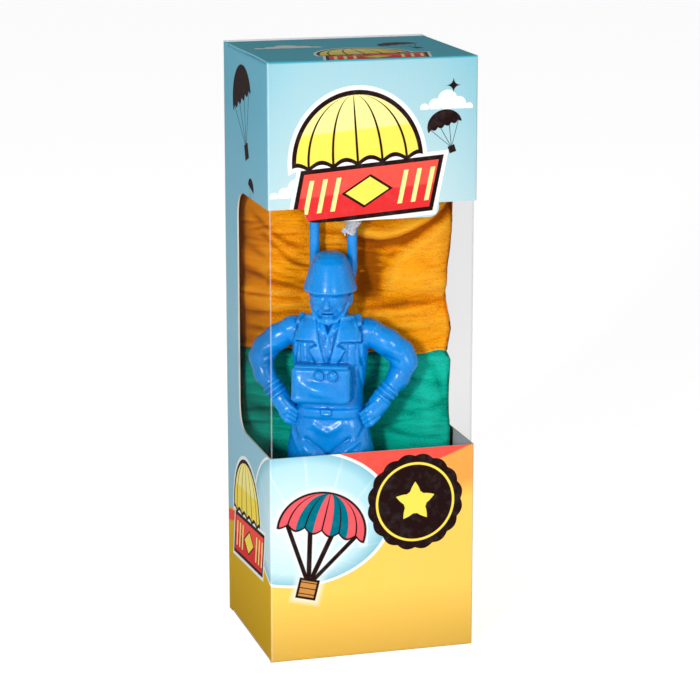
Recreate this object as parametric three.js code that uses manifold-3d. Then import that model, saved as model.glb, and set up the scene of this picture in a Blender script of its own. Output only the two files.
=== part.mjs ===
// A toy parachutist with a folded cloth canopy, standing in its window carton.
// Millimetres, +Z up, the carton's front towards -Y, origin at the middle of its base.
import * as THREE from 'three';
import { mergeVertices } from 'three/addons/utils/BufferGeometryUtils.js';
import Module from 'manifold-3d';

const wasm = await Module();
wasm.setup();

// Carton blank: outside size and board
const cartonWidth = 84;
const cartonDepth = 72;
const cartonHeight = 240;
const boardThickness = 1.2;
const foldGap = 0.3;
const flapLayerGap = 0.3;
const overrun = 5;

// Lid, tuck and dust flaps, the same at both ends
const lidSideGap = 0.4;
const tuckWallGap = 0.4;
const tuckLength = 12;
const tuckSideGap = 1.6;
const tuckCornerRadius = 7;
const tuckLean = THREE.MathUtils.degToRad(8);
const dustFlapLength = 35;
const dustFlapFrontGap = 0.6;
const dustFlapRearGap = 1.4;
const dustFlapTaperShare = 0.66;
const dustFlapCornerRadius = 6;

// Seam flap glued inside the back wall
const seamFlapWidth = 13;
const seamFlapEndGap = 18;

// Window cut through the front and round both sides, with the title tab hanging into it
const topBandHeight = 57;
const lowerPanelHeight = 84.5;
const windowSideReach = 51;
const windowCornerRadius = 12;
const tabWidth = 54;
const tabDrop = 5.6;
const tabCornerRadius = 4.5;
const tabShift = -0.5;

// Clear film glued inside the window
const filmThickness = 0.25;
const filmGlue = 0.05;
const filmMargin = 8;
const filmCornerRadius = 1;

// Figure: its own size, and how it stands in the carton
const figureHeight = 157.9;
const figureTurn = THREE.MathUtils.degToRad(24);
const figureReachLeft = 32.9;
const figureReachRight = 35.6;
const figureGap = 0.3;
const figureFrontGap = 4.2;
const shoulderWidth = 30.4;
const bodyDepth = 17;
const headWidth = 16.4;
const headDepth = 18.6;
const helmetRim = 22;
const helmetDepthShare = 1.1;
const armThickness = 10.8;
const legThickness = 16.8;
const legSpacing = 16.4;
const chestPackWidth = 25.6;
const chestPackHeight = 16;
const chestPackDepth = 8.2;
const chestPackShift = -0.9;
const packEdgeRadius = 1.8;
const packButtonRadius = 1.9;
const packButtonSpacing = 5.6;
const packButtonShift = 0.8;
const packButtonStand = 1;
const backPackWidth = 20.5;
const backPackHeight = 32;
const backPackDepth = 6.4;
const hangerWidth = 15.1;
const hangerBar = 3.6;
const hangerHeight = 183.8;
const hangerBack = 8.5;
const bootLength = 25;
const bootWidth = 9.6;
const strapThickness = 2.4;
const lapelThickness = 1.1;
const cuffStand = 0.9;

// Folded canopy: orange cloth above, green cloth below
const clothGap = 0.3;
const clothBehindFigure = 14;
const clothLeastDepth = 6;
const clothHeadroom = 24;
const orangeHeight = 94;
const orangeOverlapDepth = 0.8;
const clothFoldDepth = 2.6;
const clothEdgeRadius = 3.2;
const clothSideWave = 0.6;
const clothFrontBulge = 2.2;

// Suspension lines, eight thin lines gathered into one bundle
const lineDiameter = 2;
const hankRunLength = 32;
const hankInnerRadius = 6;
const hankTurnPitch = 3;
const hankLayerStep = 2.5;
const hankWaistDraw = 3.2;
const hankTurnsPerLayer = 2;
const hankTurn = THREE.MathUtils.degToRad(-13);
const hankShift = 4.5;
const hankBehindFront = 4;
const tieWidth = 3;
const tieThickness = 0.8;
const tieGap = 0.35;
const knotGap = 0.4;
const knotThickness = 5;

// Facets
const arcSteps = 6;
const bodySquareness = 0.8;
const bodySides = 20;
const limbSides = 12;
const clothFrontPoints = 23;
const clothBackPoints = 6;
const clothRings = 25;
const clothEdgeRings = 1.5;
const clothWaves = 1.7;
const hankStepsPerTurn = 24;
const hankSides = 6;
const lineSides = 8;

const colours = {
  board: 0x9fd3dd,
  film: 0xeaf4f6,
  figure: 0x0f86e0,
  orange: 0xf2960f,
  green: 0x0a9a78,
  line: 0xe9e9ee,
};

// Values worked out from the driving dimensions
const halfWidth = cartonWidth / 2;
const halfDepth = cartonDepth / 2;
const innerHalfWidth = halfWidth - boardThickness;
const innerHalfDepth = halfDepth - boardThickness;
const filmInnerX = innerHalfWidth - filmGlue - filmThickness;
const filmInnerY = innerHalfDepth - filmGlue - filmThickness;
const flapLevel = boardThickness + flapLayerGap;
const floorLevel = flapLevel + boardThickness + flapLayerGap;
const windowTop = cartonHeight - topBandHeight;
const windowRearY = windowSideReach - halfDepth;

// Closed solids and booleans
function solidOf(geometry) {
  const bare = geometry.clone();
  bare.deleteAttribute('normal');
  bare.deleteAttribute('uv');
  const merged = mergeVertices(bare);
  return new wasm.Manifold(new wasm.Mesh({
    numProp: 3,
    vertProperties: new Float32Array(merged.attributes.position.array),
    triVerts: new Uint32Array(merged.index.array),
  }));
}

function geometryOf(solid) {
  const mesh = solid.getMesh();
  const geometry = new THREE.BufferGeometry();
  geometry.setAttribute('position', new THREE.BufferAttribute(new Float32Array(mesh.vertProperties), 3));
  geometry.setIndex(new THREE.BufferAttribute(new Uint32Array(mesh.triVerts), 1));
  geometry.computeVertexNormals();
  return geometry;
}

function unionOf(geometries) {
  const whole = geometries.map(solidOf).reduce((sum, piece) => sum.add(piece));
  return whole.decompose().reduce((best, piece) => (piece.volume() > best.volume() ? piece : best));
}

function block(low, high) {
  const size = high.clone().sub(low);
  const geometry = new THREE.BoxGeometry(size.x, size.y, size.z);
  const middle = low.clone().add(high).multiplyScalar(0.5);
  return geometry.translate(middle.x, middle.y, middle.z);
}

function vector(x, y, z) {
  return new THREE.Vector3(x, y, z);
}

// An outline drawn in the plane of axisA and axisB, made thick along axisC
function plate(shape, thickness, axisA, axisB, axisC, start) {
  const geometry = new THREE.ExtrudeGeometry(shape, {
    depth: thickness,
    bevelEnabled: false,
    curveSegments: arcSteps,
  });
  const turn = new THREE.Matrix4().makeBasis(axisA, axisB, axisC);
  return geometry.applyMatrix4(turn).translate(start.x, start.y, start.z);
}

const alongX = vector(1, 0, 0);
const alongY = vector(0, 1, 0);
const alongZ = vector(0, 0, 1);

// A polygon whose corners are rounded, each corner given as [x, y, radius]
function roundedShape(corners) {
  const shape = new THREE.Shape();
  const count = corners.length;
  corners.forEach(([x, y, radius], index) => {
    const [px, py] = corners[(index + count - 1) % count];
    const [nx, ny] = corners[(index + 1) % count];
    const here = new THREE.Vector2(x, y);
    const back = new THREE.Vector2(px, py).sub(here).setLength(radius).add(here);
    const ahead = new THREE.Vector2(nx, ny).sub(here).setLength(radius).add(here);
    if (index === 0) {
      shape.moveTo(back.x, back.y);
    } else {
      shape.lineTo(back.x, back.y);
    }
    if (radius > 0) {
      shape.quadraticCurveTo(here.x, here.y, ahead.x, ahead.y);
    }
  });
  shape.closePath();
  return shape;
}

// A closed skin through rings of one point count, each end closed by a fan
function loft(rings) {
  const count = rings[0].length;
  const points = rings.flat();
  const faces = [];
  for (let ring = 0; ring < rings.length - 1; ring += 1) {
    for (let side = 0; side < count; side += 1) {
      const a = ring * count + side;
      const b = ring * count + (side + 1) % count;
      faces.push(a, b, b + count, a, b + count, a + count);
    }
  }
  const middleOf = (ring) => ring.reduce((sum, point) => sum.add(point), vector(0, 0, 0))
    .divideScalar(count);
  const low = points.length;
  const high = low + 1;
  points.push(middleOf(rings[0]), middleOf(rings[rings.length - 1]));
  const lastRing = (rings.length - 1) * count;
  for (let side = 0; side < count; side += 1) {
    const next = (side + 1) % count;
    faces.push(low, next, side, high, lastRing + side, lastRing + next);
  }
  const geometry = new THREE.BufferGeometry();
  geometry.setAttribute('position',
    new THREE.Float32BufferAttribute(points.flatMap((point) => [point.x, point.y, point.z]), 3));
  geometry.setIndex(faces);
  geometry.computeVertexNormals();
  return geometry;
}

// A level ring with squared-off sides, its front and back half-depths set apart
function levelRing(centreX, height, halfAcross, front, back, squareness) {
  return Array.from({ length: bodySides }, (unused, side) => {
    const angle = 2 * Math.PI * (side + 0.5) / bodySides;
    const across = Math.sign(Math.cos(angle)) * Math.abs(Math.cos(angle)) ** squareness;
    const deep = Math.sign(Math.sin(angle)) * Math.abs(Math.sin(angle)) ** squareness;
    return vector(centreX + halfAcross * across, deep * (deep < 0 ? front : back), height);
  });
}

function tangentsOf(points) {
  return points.map((point, index) => {
    const before = points[Math.max(index - 1, 0)];
    const after = points[Math.min(index + 1, points.length - 1)];
    return after.clone().sub(before).normalize();
  });
}

// Rings square to a route, with the rings' first axis kept near the given reference
function routeRings(points, tangents, radii, sides, reference, flatShare) {
  return points.map((point, index) => {
    const ahead = tangents[index];
    const normal = reference.clone().addScaledVector(ahead, -reference.dot(ahead)).normalize();
    const across = ahead.clone().cross(normal);
    return Array.from({ length: sides }, (unused, side) => {
      const angle = 2 * Math.PI * (side + 0.5) / sides;
      return point.clone()
        .addScaledVector(normal, radii[index] * flatShare * Math.cos(angle))
        .addScaledVector(across, radii[index] * Math.sin(angle));
    });
  });
}

// A limb that swells and tapers along a smooth curve through its stations [point, radius]
function limb(stations, steps, reference, flatShare) {
  const curve = new THREE.CatmullRomCurve3(stations.map(([point]) => point), false, 'centripetal');
  const places = Array.from({ length: steps + 1 }, (unused, index) => index / steps);
  const radiusAt = (place) => {
    const station = Math.min(place * (stations.length - 1), stations.length - 1 - Number.EPSILON);
    const index = Math.min(Math.floor(station), stations.length - 2);
    return THREE.MathUtils.lerp(stations[index][1], stations[index + 1][1], station - index);
  };
  return loft(routeRings(
    places.map((place) => curve.getPoint(place)),
    places.map((place) => curve.getTangent(place)),
    places.map(radiusAt),
    limbSides, reference, flatShare,
  ));
}

function roundedBlock(width, height, depth, edge) {
  const half = width / 2 - edge;
  const tall = height / 2 - edge;
  const shape = roundedShape([
    [-half, -tall, edge], [half, -tall, edge], [half, tall, edge], [-half, tall, edge],
  ]);
  const geometry = new THREE.ExtrudeGeometry(shape, {
    depth: depth - 2 * edge,
    bevelEnabled: true,
    bevelThickness: edge,
    bevelSize: edge,
    bevelSegments: 3,
    curveSegments: 3,
  });
  return geometry.translate(0, 0, edge).rotateX(Math.PI / 2);
}

function ball(centre, radii) {
  return new THREE.SphereGeometry(1, limbSides, limbSides / 2)
    .scale(radii.x, radii.y, radii.z)
    .translate(centre.x, centre.y, centre.z);
}

function named(name, geometry, colour, roughness) {
  const bare = geometry.clone();
  bare.deleteAttribute('uv');
  const material = new THREE.MeshStandardMaterial({ color: colour, roughness, metalness: 0 });
  const mesh = new THREE.Mesh(bare, material);
  mesh.name = name;
  return mesh;
}

const boardPiece = (name, geometry) => named(name, geometry, colours.board, 0.7);

// Sleeve: four walls cut through by the window, with the seam flap inside
function windowCutter() {
  const low = lowerPanelHeight;
  const front = -halfDepth - overrun;
  const opening = roundedShape([
    [front, low, 0], [windowRearY, low, windowCornerRadius],
    [windowRearY, windowTop, windowCornerRadius], [front, windowTop, 0],
  ]);
  const cutter = solidOf(plate(opening, cartonWidth + 2 * overrun, alongY, alongZ, alongX,
    vector(-halfWidth - overrun, 0, 0)));
  const tabLow = windowTop - tabDrop;
  const left = tabShift - tabWidth / 2;
  const right = tabShift + tabWidth / 2;
  const tab = roundedShape([
    [left, windowTop + overrun, 0], [left, tabLow, tabCornerRadius],
    [right, tabLow, tabCornerRadius], [right, windowTop + overrun, 0],
  ]);
  const tabSolid = solidOf(plate(tab, boardThickness + 2 * overrun, alongX, alongZ,
    alongY.clone().negate(), vector(0, overrun - halfDepth, 0)));
  return cutter.subtract(tabSolid);
}

function sleeve() {
  const outer = solidOf(block(
    vector(-halfWidth, -halfDepth, 0),
    vector(halfWidth, halfDepth, cartonHeight),
  ));
  const hollow = solidOf(block(
    vector(-innerHalfWidth, -innerHalfDepth, -overrun),
    vector(innerHalfWidth, innerHalfDepth, cartonHeight + overrun),
  ));
  let walls = outer.subtract(hollow).subtract(windowCutter());
  const sideEnd = flapLevel + boardThickness + foldGap;
  const frontEnd = boardThickness + foldGap;
  const endCuts = [
    [-innerHalfDepth, innerHalfDepth, sideEnd],
    [-halfDepth - overrun, -innerHalfDepth, frontEnd],
  ];
  endCuts.forEach(([front, back, depth]) => {
    const across = halfWidth + overrun;
    [[cartonHeight - depth, cartonHeight + overrun], [-overrun, depth]].forEach(([low, high]) => {
      walls = walls.subtract(solidOf(block(vector(-across, front, low), vector(across, back, high))));
    });
  });
  const seamFlap = solidOf(block(
    vector(-innerHalfWidth, innerHalfDepth - boardThickness, seamFlapEndGap),
    vector(seamFlapWidth - innerHalfWidth, innerHalfDepth, cartonHeight - seamFlapEndGap),
  ));
  return geometryOf(walls.add(seamFlap));
}

// Lid and tuck hang from a group at the front edge, +Z away from the carton
function lidPanel() {
  const half = halfWidth - lidSideGap;
  const reach = cartonDepth - boardThickness - tuckWallGap - boardThickness - foldGap;
  return block(vector(-half, 0, -boardThickness), vector(half, reach, 0));
}

function tuckPanel() {
  const half = innerHalfWidth - tuckSideGap;
  const outline = roundedShape([
    [half, -foldGap, 0], [-half, -foldGap, 0],
    [-half, -tuckLength, tuckCornerRadius], [half, -tuckLength, tuckCornerRadius],
  ]);
  return plate(outline, boardThickness, alongX, alongZ, alongY.clone().negate(), vector(0, 0, 0));
}

// Dust flap from a side wall's fold, its front edge slanted so that it follows the lid up
function dustFlap(side) {
  const front = boardThickness + dustFlapFrontGap;
  const rear = cartonDepth - 2 * boardThickness - tuckWallGap - dustFlapRearGap;
  const inward = -side;
  const outline = roundedShape([
    [0, front, 0],
    [inward * dustFlapLength, front + dustFlapTaperShare * dustFlapLength, dustFlapCornerRadius],
    [inward * dustFlapLength, rear, dustFlapCornerRadius],
    [0, rear, 0],
  ]);
  const thick = plate(outline, boardThickness, alongX, alongY, alongZ, vector(0, 0, -boardThickness));
  return thick.translate(side * halfWidth, 0, -flapLevel);
}

function closure(names) {
  const group = new THREE.Group();
  group.add(boardPiece(names.lid, lidPanel()));
  const tuck = boardPiece(names.tuck, tuckPanel());
  tuck.position.set(0, cartonDepth - boardThickness - tuckWallGap, 0);
  tuck.rotation.x = -tuckLean;
  group.add(tuck);
  group.add(boardPiece(names.left, dustFlap(-1)));
  group.add(boardPiece(names.right, dustFlap(1)));
  return group;
}

// Film bent round both front corners of the window
function film() {
  const outX = innerHalfWidth - filmGlue;
  const outY = innerHalfDepth - filmGlue;
  const rear = windowRearY + filmMargin;
  const inRadius = filmCornerRadius - filmThickness;
  const section = roundedShape([
    [-outX, rear, 0], [-outX, -outY, filmCornerRadius],
    [outX, -outY, filmCornerRadius], [outX, rear, 0],
    [filmInnerX, rear, 0], [filmInnerX, -filmInnerY, inRadius],
    [-filmInnerX, -filmInnerY, inRadius], [-filmInnerX, rear, 0],
  ]);
  const low = lowerPanelHeight - filmMargin;
  return plate(section, windowTop + filmMargin - low, alongX, alongY, alongZ, vector(0, 0, low));
}

// Figure in its own frame: soles at zero, facing -Y; tables hold shares of the named sizes
const torsoShares = [
  // height, half width, front depth, back depth
  [0.487, 0.50, 0.44, 0.50], [0.512, 0.515, 0.46, 0.53], [0.553, 0.50, 0.49, 0.53],
  [0.590, 0.43, 0.45, 0.46], [0.640, 0.435, 0.47, 0.44], [0.690, 0.475, 0.52, 0.47],
  [0.740, 0.50, 0.54, 0.48], [0.780, 0.49, 0.50, 0.46], [0.808, 0.40, 0.42, 0.40],
  [0.830, 0.24, 0.30, 0.30],
];
const helmetShares = [
  // radius as a share of the rim's, height as a share of the figure's
  [0, 0.899], [0.93, 0.899], [0.99, 0.903], [0.98, 0.909], [0.84, 0.932], [0.755, 0.955],
  [0.66, 0.975], [0.50, 0.990], [0.27, 0.998], [0, 1],
];
const headShares = [
  // height, half width, front depth, back depth
  [0.818, 0.16, 0.30, 0.20], [0.826, 0.50, 0.66, 0.45], [0.840, 0.74, 0.84, 0.66],
  [0.860, 0.92, 0.90, 0.84], [0.880, 1, 0.94, 0.95], [0.905, 1, 0.94, 1], [0.930, 0.80, 0.8, 0.85],
];
const neckShares = [
  // height, radius as a share of the head's width
  [0.79, 0.32], [0.87, 0.29],
];
const noseShares = [0, -0.47, 0.874];
const noseRadiiShares = [0.09, 0.12, 0.15];
const glassesShares = [
  // height, stand as a share of the head's half width
  [0.876, 0.94], [0.881, 1.04], [0.893, 1.04], [0.897, 0.94],
];
const glassesFrontShare = 0.475;
const glassesBackShare = 0.3;
const armShares = [
  // across as a share of the reach, depth as a share of the body's, height, thickness share
  [0.30, 0.06, 0.800, 0.95], [0.45, 0.07, 0.797, 1.16], [0.62, 0.09, 0.786, 1.16],
  [0.78, 0.11, 0.758, 1.08], [0.838, 0.08, 0.722, 1.0], [0.80, 0, 0.685, 0.86],
  [0.70, -0.13, 0.648, 0.62], [0.655, -0.17, 0.632, 0.56], [0.58, -0.22, 0.608, 0.74],
  [0.47, -0.28, 0.583, 0.70], [0.40, -0.30, 0.572, 0.36],
];
const elbowDepthShare = 0.08;
const armFlatShare = 0.9;
const cuffPlaceShares = [0.700, 0.664];
const cuffRadiusShare = 0.31;
const cuffEdgeShare = 0.82;
const legShares = [
  // sideways share of half the spacing, depth as a share of the body's, height, thickness share
  [1, 0.02, 0.525, 0.70], [1.02, 0.01, 0.49, 1], [1, 0, 0.42, 0.99], [0.98, -0.02, 0.34, 0.84],
  [0.96, -0.02, 0.28, 0.76], [0.95, 0.03, 0.20, 0.78], [0.94, 0.05, 0.13, 0.66],
  [0.94, 0.05, 0.05, 0.62],
];
const footSpacingShare = 0.97;
const heelShare = 0.36;
const bootShares = [
  // along the foot from the heel, half width, top height as a share of the figure's
  [0, 0.40, 0.058], [0.10, 0.82, 0.075], [0.35, 0.90, 0.082], [0.58, 0.96, 0.062],
  [0.82, 1, 0.044], [0.95, 0.78, 0.034], [1, 0.36, 0.024],
];
const lapelShares = [
  // one side's collar, across as a share of half the shoulders, height as a share of the figure's
  [0.10, 0.757], [0.06, 0.748], [0.30, 0.752], [0.42, 0.772], [0.30, 0.782],
  [0.84, 0.790], [0.86, 0.800], [0.52, 0.838], [0.34, 0.838],
];
const packHeightShare = 0.673;
const packFrontShare = 0.5;
const packButtonShare = 0.31;
const backPackHeightShare = 0.725;
const backPackFrontShare = 0.34;
const beltShares = [
  // height, how far the belt stands out as a share of the body's depth
  [0.585, 0.025], [0.591, 0.05], [0.603, 0.05], [0.609, 0.025],
];
const beltWidthShare = 0.435;
const beltDepthShare = 0.46;
const bootTopShares = [
  // height, radius as a share of the leg's thickness
  [0.150, 0.36], [0.161, 0.44], [0.172, 0.40],
];
const bootTopDepthShare = 0.04;
const strapShares = [
  // across as a share of half the shoulders, depth as a share of the body's, height share
  [0.62, -0.46, 0.770], [0.66, -0.32, 0.815], [0.70, -0.02, 0.836], [0.66, 0.32, 0.818],
  [0.60, 0.46, 0.780],
];
const strapWideShare = 1.5;
const lapelDepthShare = 0.55;
const hangerLowShare = 0.75;

const high = (share) => share * figureHeight;

function head() {
  const skull = loft(headShares.map(([height, across, front, back]) => levelRing(
    0, high(height), across * headWidth / 2, front * headDepth / 2, back * headDepth / 2, 1)));
  const neck = limb(neckShares.map(([height, radius]) => [
    vector(0, 0, high(height)), radius * headWidth]), 1, alongY, 1);
  const profile = helmetShares.map(([radius, height]) => new THREE.Vector2(
    radius * helmetRim / 2, high(height)));
  const helmet = new THREE.LatheGeometry(profile, bodySides)
    .rotateX(Math.PI / 2)
    .scale(1, helmetDepthShare, 1);
  const [noseAcross, noseDeep, noseHeight] = noseShares;
  const nose = ball(
    vector(noseAcross * headWidth, noseDeep * headDepth, high(noseHeight)),
    vector(...noseRadiiShares).multiplyScalar(headWidth),
  );
  const glasses = loft(glassesShares.map(([height, stand]) => levelRing(
    0, high(height), stand * headWidth / 2,
    stand * glassesFrontShare * headDepth, glassesBackShare * headDepth, 1)));
  return [skull, neck, helmet, nose, glasses];
}

function torso() {
  const trunk = loft(torsoShares.map(([height, across, front, back]) => levelRing(
    0, high(height), across * shoulderWidth, front * bodyDepth, back * bodyDepth, bodySquareness)));
  const belt = loft(beltShares.map(([height, standShare]) => {
    const stand = standShare * bodyDepth;
    const deep = beltDepthShare * bodyDepth + stand;
    return levelRing(0, high(height), beltWidthShare * shoulderWidth + stand, deep, deep, bodySquareness);
  }));
  const packFront = packFrontShare * bodyDepth;
  const chestPack = roundedBlock(chestPackWidth, chestPackHeight, chestPackDepth, packEdgeRadius)
    .translate(chestPackShift, -packFront, high(packHeightShare));
  const buttons = [-1, 1].map((side) => new THREE.CylinderGeometry(packButtonRadius, packButtonRadius,
    packButtonStand * 2, limbSides)
    .translate(packButtonShift + side * packButtonSpacing / 2, -packFront - chestPackDepth,
      high(packHeightShare) + packButtonShare * chestPackHeight));
  const backPack = roundedBlock(backPackWidth, backPackHeight, backPackDepth, packEdgeRadius)
    .translate(0, backPackFrontShare * bodyDepth + backPackDepth, high(backPackHeightShare));
  return [trunk, belt, chestPack, ...buttons, backPack];
}

// Coat collar and lapels as one raised plate for each side, laid on the chest
function lapel(side) {
  const shape = new THREE.Shape(lapelShares.map(([across, height]) => new THREE.Vector2(
    side * across * shoulderWidth / 2, high(height))));
  return plate(shape, lapelDepthShare * bodyDepth + lapelThickness, alongX, alongZ,
    alongY.clone().negate(), vector(0, 0, 0));
}

function arm(side) {
  const reach = side < 0 ? figureReachLeft : figureReachRight;
  const stations = armShares.map(([across, deep, height, thick]) => [
    vector(side * across * reach, deep * bodyDepth, high(height)), thick * armThickness / 2]);
  const sleeveAndHand = limb(stations, 22, alongY, armFlatShare);
  const curve = new THREE.CatmullRomCurve3(stations.map(([point]) => point), false, 'centripetal');
  const cuffs = cuffPlaceShares.map((place) => {
    const middle = curve.getPoint(place);
    const ahead = curve.getTangent(place).multiplyScalar(cuffStand);
    const radius = cuffRadiusShare * armThickness + cuffStand;
    return limb([
      [middle.clone().sub(ahead), radius * cuffEdgeShare],
      [middle.clone(), radius],
      [middle.clone().add(ahead), radius * cuffEdgeShare],
    ], 2, alongY, armFlatShare);
  });
  const strap = limb(strapShares.map(([across, deep, height]) => [
    vector(side * across * shoulderWidth / 2, deep * bodyDepth, high(height)), strapThickness / 2]),
  6, alongX, strapWideShare);
  return [sleeveAndHand, ...cuffs, strap];
}

function leg(side) {
  const stations = legShares.map(([across, deep, height, thick]) => [
    vector(side * across * legSpacing / 2, deep * bodyDepth, high(height)), thick * legThickness / 2]);
  const limbSolid = limb(stations, 14, alongY, 1);
  const footX = side * footSpacingShare * legSpacing / 2;
  const heel = heelShare * bootLength;
  const boot = loft(bootShares.map(([along, across, top]) => {
    const half = across * bootWidth / 2;
    const rise = high(top);
    return Array.from({ length: limbSides }, (unused, index) => {
      const angle = 2 * Math.PI * (index + 0.5) / limbSides;
      const up = rise / 2 * (1 + Math.sign(Math.sin(angle)) * Math.abs(Math.sin(angle)) ** 0.5);
      return vector(footX + half * Math.sign(Math.cos(angle)) * Math.abs(Math.cos(angle)) ** 0.7,
        heel - along * bootLength, up);
    });
  }));
  const bootTop = limb(bootTopShares.map(([height, radius]) => [
    vector(footX, bootTopDepthShare * bodyDepth, high(height)), radius * legThickness]), 3, alongY, 1);
  return [limbSolid, boot, bootTop];
}

// Hanger loop behind the helmet, from the backpack up and over
function hanger() {
  const half = hangerWidth / 2;
  const low = high(hangerLowShare);
  const archMiddle = hangerHeight - hangerBar / 2 - half;
  const turnSteps = arcSteps * 2;
  const points = [vector(-half, hangerBack, low)];
  for (let step = 0; step <= turnSteps; step += 1) {
    const angle = Math.PI * (1 - step / turnSteps);
    points.push(vector(half * Math.cos(angle), hangerBack, archMiddle + half * Math.sin(angle)));
  }
  points.push(vector(half, hangerBack, low));
  const radii = points.map(() => hangerBar / 2);
  return loft(routeRings(points, tangentsOf(points), radii, limbSides, alongY, 1));
}

function figureSolid() {
  return unionOf([
    ...torso(), ...head(), hanger(),
    ...[-1, 1].flatMap((side) => [...arm(side), ...leg(side), lapel(side)]),
  ]);
}

// Where the figure stands: its left elbow by the film, its chest pack behind the front film
const elbowRadius = armThickness / 2;
const elbowMiddle = figureReachLeft - elbowRadius;
const elbowDeep = elbowDepthShare * bodyDepth;
const figureX = elbowMiddle * Math.cos(figureTurn) - elbowDeep * Math.sin(figureTurn)
  + elbowRadius + figureGap - filmInnerX;
const packReach = chestPackWidth / 2 * Math.sin(figureTurn)
  + (packFrontShare * bodyDepth + chestPackDepth) * Math.cos(figureTurn);
const figureY = packReach + figureFrontGap - filmInnerY;

function figurePoint(across, deep, height) {
  return vector(across, deep, height)
    .applyAxisAngle(alongZ, -figureTurn)
    .add(vector(figureX, figureY, floorLevel));
}

// Canopy: folded cloth that fills the carton from its back wall to behind the figure
const clothHalfWidth = filmInnerX - clothGap;
const clothBack = innerHalfDepth - boardThickness - clothGap;
const tuckReach = tuckWallGap + boardThickness + tuckLength * Math.sin(tuckLean);
const clothBackLow = innerHalfDepth - tuckReach - clothGap;
const canopyLow = floorLevel;
const canopyHigh = cartonHeight - floorLevel - clothHeadroom;
const seamHeight = canopyHigh - orangeHeight;
const foldShares = [
  // middle height, rise to the right and sag as shares of the canopy's height, then depth and width
  [0.93, 0.10, 0.10, -0.8, 0.030], [0.86, 0.18, 0.12, 1.0, 0.036], [0.76, 0.20, 0.10, -0.9, 0.040],
  [0.70, 0.02, -0.03, 0.5, 0.022], [0.63, -0.05, 0.02, -0.5, 0.026], [0.57, 0.03, 0.02, 0.6, 0.020],
  [0.47, -0.02, 0.03, -0.6, 0.024], [0.40, 0.05, -0.02, 0.5, 0.022], [0.32, -0.04, 0.03, -0.6, 0.026],
  [0.22, 0.05, 0.02, 0.6, 0.030], [0.12, -0.03, -0.02, -0.5, 0.026],
];

const clothFreeShares = [0.15, 0.75];
const clothTightShare = 0.3;

function clothFront(x, z) {
  const share = x / clothHalfWidth;
  const plane = figureY + (clothBehindFigure - (x - figureX) * Math.sin(figureTurn)) / Math.cos(figureTurn);
  const clothHeight = canopyHigh - canopyLow;
  const height = (z - canopyLow) / clothHeight;
  const folds = foldShares.reduce((sum, [middle, rise, sag, depth, width]) => {
    const centre = middle + rise * share / 2 - sag * (1 - share * share) / 2;
    return sum + depth * Math.exp(-(((height - centre) / width) ** 2));
  }, 0);
  const free = THREE.MathUtils.smoothstep(share, ...clothFreeShares);
  const bulge = clothFrontBulge * Math.sin(Math.PI * THREE.MathUtils.clamp(share, 0, 1)) * free;
  const foldDepth = clothFoldDepth * THREE.MathUtils.lerp(clothTightShare, 1, free) * folds / 2;
  const rounding = clothEdgeRadius * Math.abs(share) ** 10;
  return Math.min(plane - bulge + foldDepth + rounding, clothBackLow - clothLeastDepth);
}

// The cloth's back stands clear of the bottom tuck, then of the seam flap
function clothBackAt(z) {
  const rise = THREE.MathUtils.smoothstep(z, tuckLength + clothGap, seamFlapEndGap);
  return THREE.MathUtils.lerp(clothBackLow, clothBack, rise);
}

function clothBlock(low, high, recess) {
  const rings = Array.from({ length: clothRings }, (unused, ring) => {
    const place = ring / (clothRings - 1);
    const z = THREE.MathUtils.lerp(low, high, place);
    const fromEnd = Math.min(ring, clothRings - 1 - ring);
    const edge = Math.max(1 - fromEnd / clothEdgeRings, 0) * clothEdgeRadius / 2;
    const wave = clothSideWave * (1 + Math.sin(2 * Math.PI * clothWaves * place)) / 2;
    const half = clothHalfWidth - edge - wave;
    const front = Array.from({ length: clothFrontPoints }, (unusedPoint, index) => {
      const x = half * (2 * index / (clothFrontPoints - 1) - 1);
      return vector(x, clothFront(x, z) + edge + recess, z);
    });
    const back = Array.from({ length: clothBackPoints }, (unusedPoint, index) => {
      const share = 1 - 2 * index / (clothBackPoints - 1);
      const rounding = clothEdgeRadius * Math.abs(share) ** 8 / 2;
      return vector(half * share, clothBackAt(z) - edge - rounding, z);
    });
    return [...front, ...back];
  });
  return loft(rings);
}

// Hank of gathered lines, wound as a spiral in and out again in two layers
const hankMiddleX = hankShift;
const hankOuterRadius = hankInnerRadius + hankTurnsPerLayer * hankTurnPitch;
const hankMiddleY = clothFront(hankMiddleX, canopyHigh) + clothEdgeRadius + hankBehindFront
  + hankOuterRadius;
const hankLow = canopyHigh + clothGap + tieThickness + tieGap + lineDiameter / 2;
const hankTurns = 2 * hankTurnsPerLayer;

function hankPoint(turn) {
  const radius = hankInnerRadius + hankTurnPitch * Math.abs(turn - hankTurnsPerLayer);
  const quarter = (turn - Math.floor(turn)) * 4;
  const along = quarter - Math.floor(quarter);
  const half = hankRunLength / 2;
  const climb = THREE.MathUtils.smoothstep(turn, hankTurnsPerLayer, hankTurnsPerLayer + 0.25);
  const place = vector(0, 0, hankLayerStep * climb);
  if (quarter < 1 || (quarter >= 2 && quarter < 3)) {
    const side = quarter < 1 ? -1 : 1;
    const x = side * half * (1 - 2 * along);
    const draw = hankWaistDraw * Math.exp(-((4 * x / hankRunLength) ** 2));
    place.x = x;
    place.y = side * (radius - draw);
  } else {
    const side = quarter < 2 ? 1 : -1;
    const angle = Math.PI * (along - 0.5);
    place.x = side * (half + radius * Math.cos(angle));
    place.y = side * radius * Math.sin(angle);
  }
  return place;
}

function hankToCarton(point) {
  return point.clone().applyAxisAngle(alongZ, hankTurn).add(vector(hankMiddleX, hankMiddleY, hankLow));
}

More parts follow.
